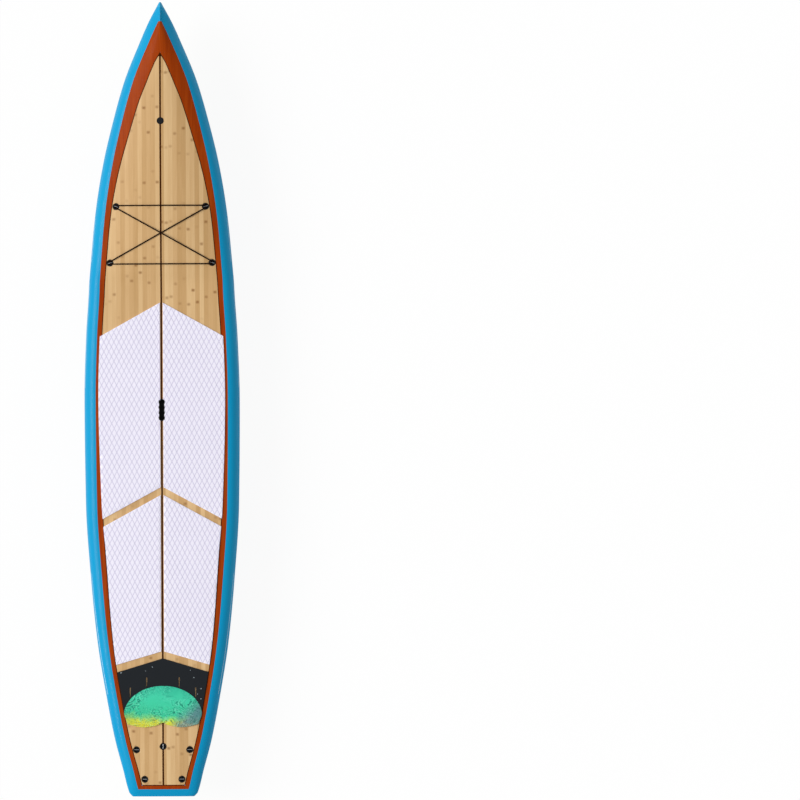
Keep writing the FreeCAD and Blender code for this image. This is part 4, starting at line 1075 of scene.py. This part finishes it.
def spline_through(points, count=10):
    """Points on a Catmull-Rom curve through the given ones."""
    ends = [points[0] * 2 - points[1]] + points + [points[-1] * 2 - points[-2]]
    curve = []
    for a, b, c, d in zip(ends, ends[1:], ends[2:], ends[3:]):
        for step in range(count):
            t = step / count
            curve.append(0.5 * (2 * b + (c - a) * t + (2 * a - 5 * b + 4 * c - d) * t * t
                                + (3 * b - a - 3 * c + d) * t * t * t))
    return curve + [points[-1]]


def dome_outline(margin=0.0):
    """Plan outline of the tail pad: one arch above, two shallow lobes below."""
    half, rise = DOME_HALF + margin, DOME_TOP - DOME_MIDDLE + margin
    lobe = [Vector((part * half, DOME_LOBE + ahead)) for part, ahead in DOME_LOBES]
    lobe.append(Vector((0, DOME_NOTCH)))
    arch = [lobe[0]] + [Vector((part * half, DOME_MIDDLE + way * rise)) for part, way in DOME_ARCH]
    arch = spline_through(arch + [Vector((-p.x, p.y)) for p in reversed(arch[:-1])])
    starboard = spline_through(lobe)
    port = [Vector((-p.x, p.y)) for p in starboard]
    return [tuple(p) for p in arch + port[1:] + starboard[::-1][1:-1]]


def dome_reach(place):
    return bamboo_reach(place) + DOME_LAP


dome_section = across_section(dome_reach, DOME_THICKNESS, BOND, 40)
dome_slab = lofted("tail_pad_dome", (dome_section, DOME_LOBE - DOME_MARGIN, DOME_TOP + DOME_MARGIN))
dome_plan = prism(dome_outline(-DOME_CLEARANCE), BELOW_PADS, ABOVE_PADS)
boolean(dome_slab, dome_plan, "INTERSECT")
bevelled(dome_slab, DOME_BEVEL)
on_board(dome_slab, "dome_foam", "tail_dome_pad")

panel_tail = DOME_MIDDLE - PANEL_LAP
panel_section = across_section(bamboo_reach, PAD_THICKNESS, BOND, 40)
panel = lofted("tail_pad_panel", (panel_section, panel_tail, PANEL_NOSE))
wide = 400.0
shoulder = PANEL_NOSE - TAIL_SWEEP / bamboo_reach(PANEL_NOSE - TAIL_SWEEP) * wide
heel = panel_tail - PLAN_MARGIN
panel_outline = [(0, PANEL_NOSE), (-wide, shoulder), (-wide, heel), (wide, heel), (wide, shoulder)]
panel_plan = prism(panel_outline, BELOW_PADS, ABOVE_PADS)
boolean(panel, panel_plan, "INTERSECT")
dome_room = prism(dome_outline(0.0), BELOW_PADS, ABOVE_PADS)
boolean(panel, dome_room, "DIFFERENCE")
for reach, top in SLOTS:
    for side, _ in SIDES:
        x, half = side * reach, SLOT_WIDTH / 2
        narrow, low_end = half * SLOT_TAPER, top - SLOT_LENGTH
        tapered = [(x - narrow, low_end), (x + narrow, low_end), (x + half, top), (x - half, top)]
        slot_tool = prism(tapered, BELOW_PADS, ABOVE_PADS)
        boolean(panel, slot_tool, "DIFFERENCE")
        discard(slot_tool)
bevelled(panel, PANEL_BEVEL)
on_board(panel, "tail_foam", "tail_panel")
discard(dome_plan, dome_room, panel_plan, fin_hole, grip, *holes)

# ---------------------------------------------------------------- CAD nodes that stay

slots = {part["node"]: part["material_slot"] for part in frame["record"]["subparts"]}
for name, node in frame["nodes"].items():
    if not node.hide_render:
        dressed(node, slots[name])
        node.data.shade_smooth()
        node.data.set_sharp_from_angle(angle=math.radians(NODE_SMOOTH_ANGLE))

# ---------------------------------------------------------------- stage, light and camera

low, high = cad_box
FLOOR_GAP, FLOOR_HALF, FLOOR_GLOW = 0.004, 60.0, 0.93
FILL = 0.46


def stage_floor():
    """A white floor that the camera sees nearly as a plain ground, and that is clear from below."""
    bm = bmesh.new()
    half = FLOOR_HALF
    corners = [(-half, -half), (half, -half), (half, half), (-half, half)]
    bm.faces.new([bm.verts.new((x, y, low.z - FLOOR_GAP)) for x, y in corners])
    mesh = bpy.data.meshes.new("floor")
    bm.to_mesh(mesh)
    bm.free()
    floor = bpy.data.objects.new("floor", mesh)
    bpy.context.scene.collection.objects.link(floor)
    material = bpy.data.materials.new("floor_white")
    material.use_nodes = True
    nodes, links = material.node_tree.nodes, material.node_tree.links
    shader = nodes["Principled BSDF"]
    shader.inputs["Base Color"].default_value = (0.93, 0.93, 0.93, 1)
    shader.inputs["Roughness"].default_value = 0.9
    shader.inputs["Specular IOR Level"].default_value = 0.1
    glow = nodes.new("ShaderNodeEmission")
    seen = nodes.new("ShaderNodeLightPath")
    share = nodes.new("ShaderNodeMath")
    share.operation = "MULTIPLY"
    share.inputs[1].default_value = FLOOR_GLOW
    both = nodes.new("ShaderNodeMixShader")
    links.new(seen.outputs["Is Camera Ray"], share.inputs[0])
    links.new(share.outputs[0], both.inputs[0])
    links.new(shader.outputs[0], both.inputs[1])
    links.new(glow.outputs[0], both.inputs[2])
    # from below the floor is clear, so that the hull's underside can be seen
    side = nodes.new("ShaderNodeNewGeometry")
    clear = nodes.new("ShaderNodeBsdfTransparent")
    through = nodes.new("ShaderNodeMixShader")
    links.new(side.outputs["Backfacing"], through.inputs[0])
    links.new(both.outputs[0], through.inputs[1])
    links.new(clear.outputs[0], through.inputs[2])
    links.new(through.outputs[0], nodes["Material Output"].inputs["Surface"])
    floor.data.materials.append(material)


def studio_world():
    """White to the camera and in reflections, and FILL bright as a light."""
    world = bpy.data.worlds.new("studio")
    bpy.context.scene.world = world
    world.use_nodes = True
    nodes, links = world.node_tree.nodes, world.node_tree.links
    back = nodes["Background"]
    back.inputs["Color"].default_value = (1, 1, 1, 1)
    seen = nodes.new("ShaderNodeLightPath")
    either = nodes.new("ShaderNodeMath")
    either.operation = "MAXIMUM"
    both = nodes.new("ShaderNodeMath")
    both.operation = "MAXIMUM"
    links.new(seen.outputs["Is Camera Ray"], both.inputs[0])
    links.new(seen.outputs["Is Glossy Ray"], both.inputs[1])
    links.new(both.outputs[0], either.inputs[0])
    links.new(seen.outputs["Is Transmission Ray"], either.inputs[1])
    strength = nodes.new("ShaderNodeMapRange")
    strength.inputs["To Min"].default_value = FILL
    strength.inputs["To Max"].default_value = 1.0
    links.new(either.outputs[0], strength.inputs["Value"])
    links.new(strength.outputs[0], back.inputs["Strength"])


def soft_sun(name, strength, angle, azimuth, elevation):
    """A wide soft light from a direction: azimuth 0 is +X, 90 is +Y."""
    light = bpy.data.lights.new(name, "SUN")
    light.energy = strength
    light.angle = math.radians(angle)
    item = bpy.data.objects.new(name, light)
    bpy.context.scene.collection.objects.link(item)
    a, e = math.radians(azimuth), math.radians(elevation)
    towards = Vector((math.cos(a) * math.cos(e), math.sin(a) * math.cos(e), math.sin(e)))
    item.rotation_mode = "QUATERNION"
    item.rotation_quaternion = towards.to_track_quat("Z", "Y")


stage_floor()
studio_world()
soft_sun("key", strength=2.6, angle=36, azimuth=172, elevation=42)

LENS, SENSOR, CLIP_END = 400.0, 36.0, 200.0
# The frame is as high as the board with a narrow margin, and the board stands in its left part.
FRAME_HEIGHT = 3.832
BOARD_LEFT, BOARD_UP = 1.143, 0.008
ROLL = 0.25
camera_data = bpy.data.cameras.new("camera")
camera_data.lens = LENS
camera_data.sensor_width = SENSOR
camera_data.clip_end = CLIP_END
camera = bpy.data.objects.new("camera", camera_data)
bpy.context.scene.collection.objects.link(camera)
middle = (low + high) / 2
distance = FRAME_HEIGHT / SENSOR * LENS
camera.location = (middle.x + BOARD_LEFT, middle.y - BOARD_UP, high.z + distance)
camera.rotation_euler = (0.0, 0.0, math.radians(-ROLL))
bpy.context.scene.camera = camera
bpy.context.scene.view_settings.view_transform = "Standard"
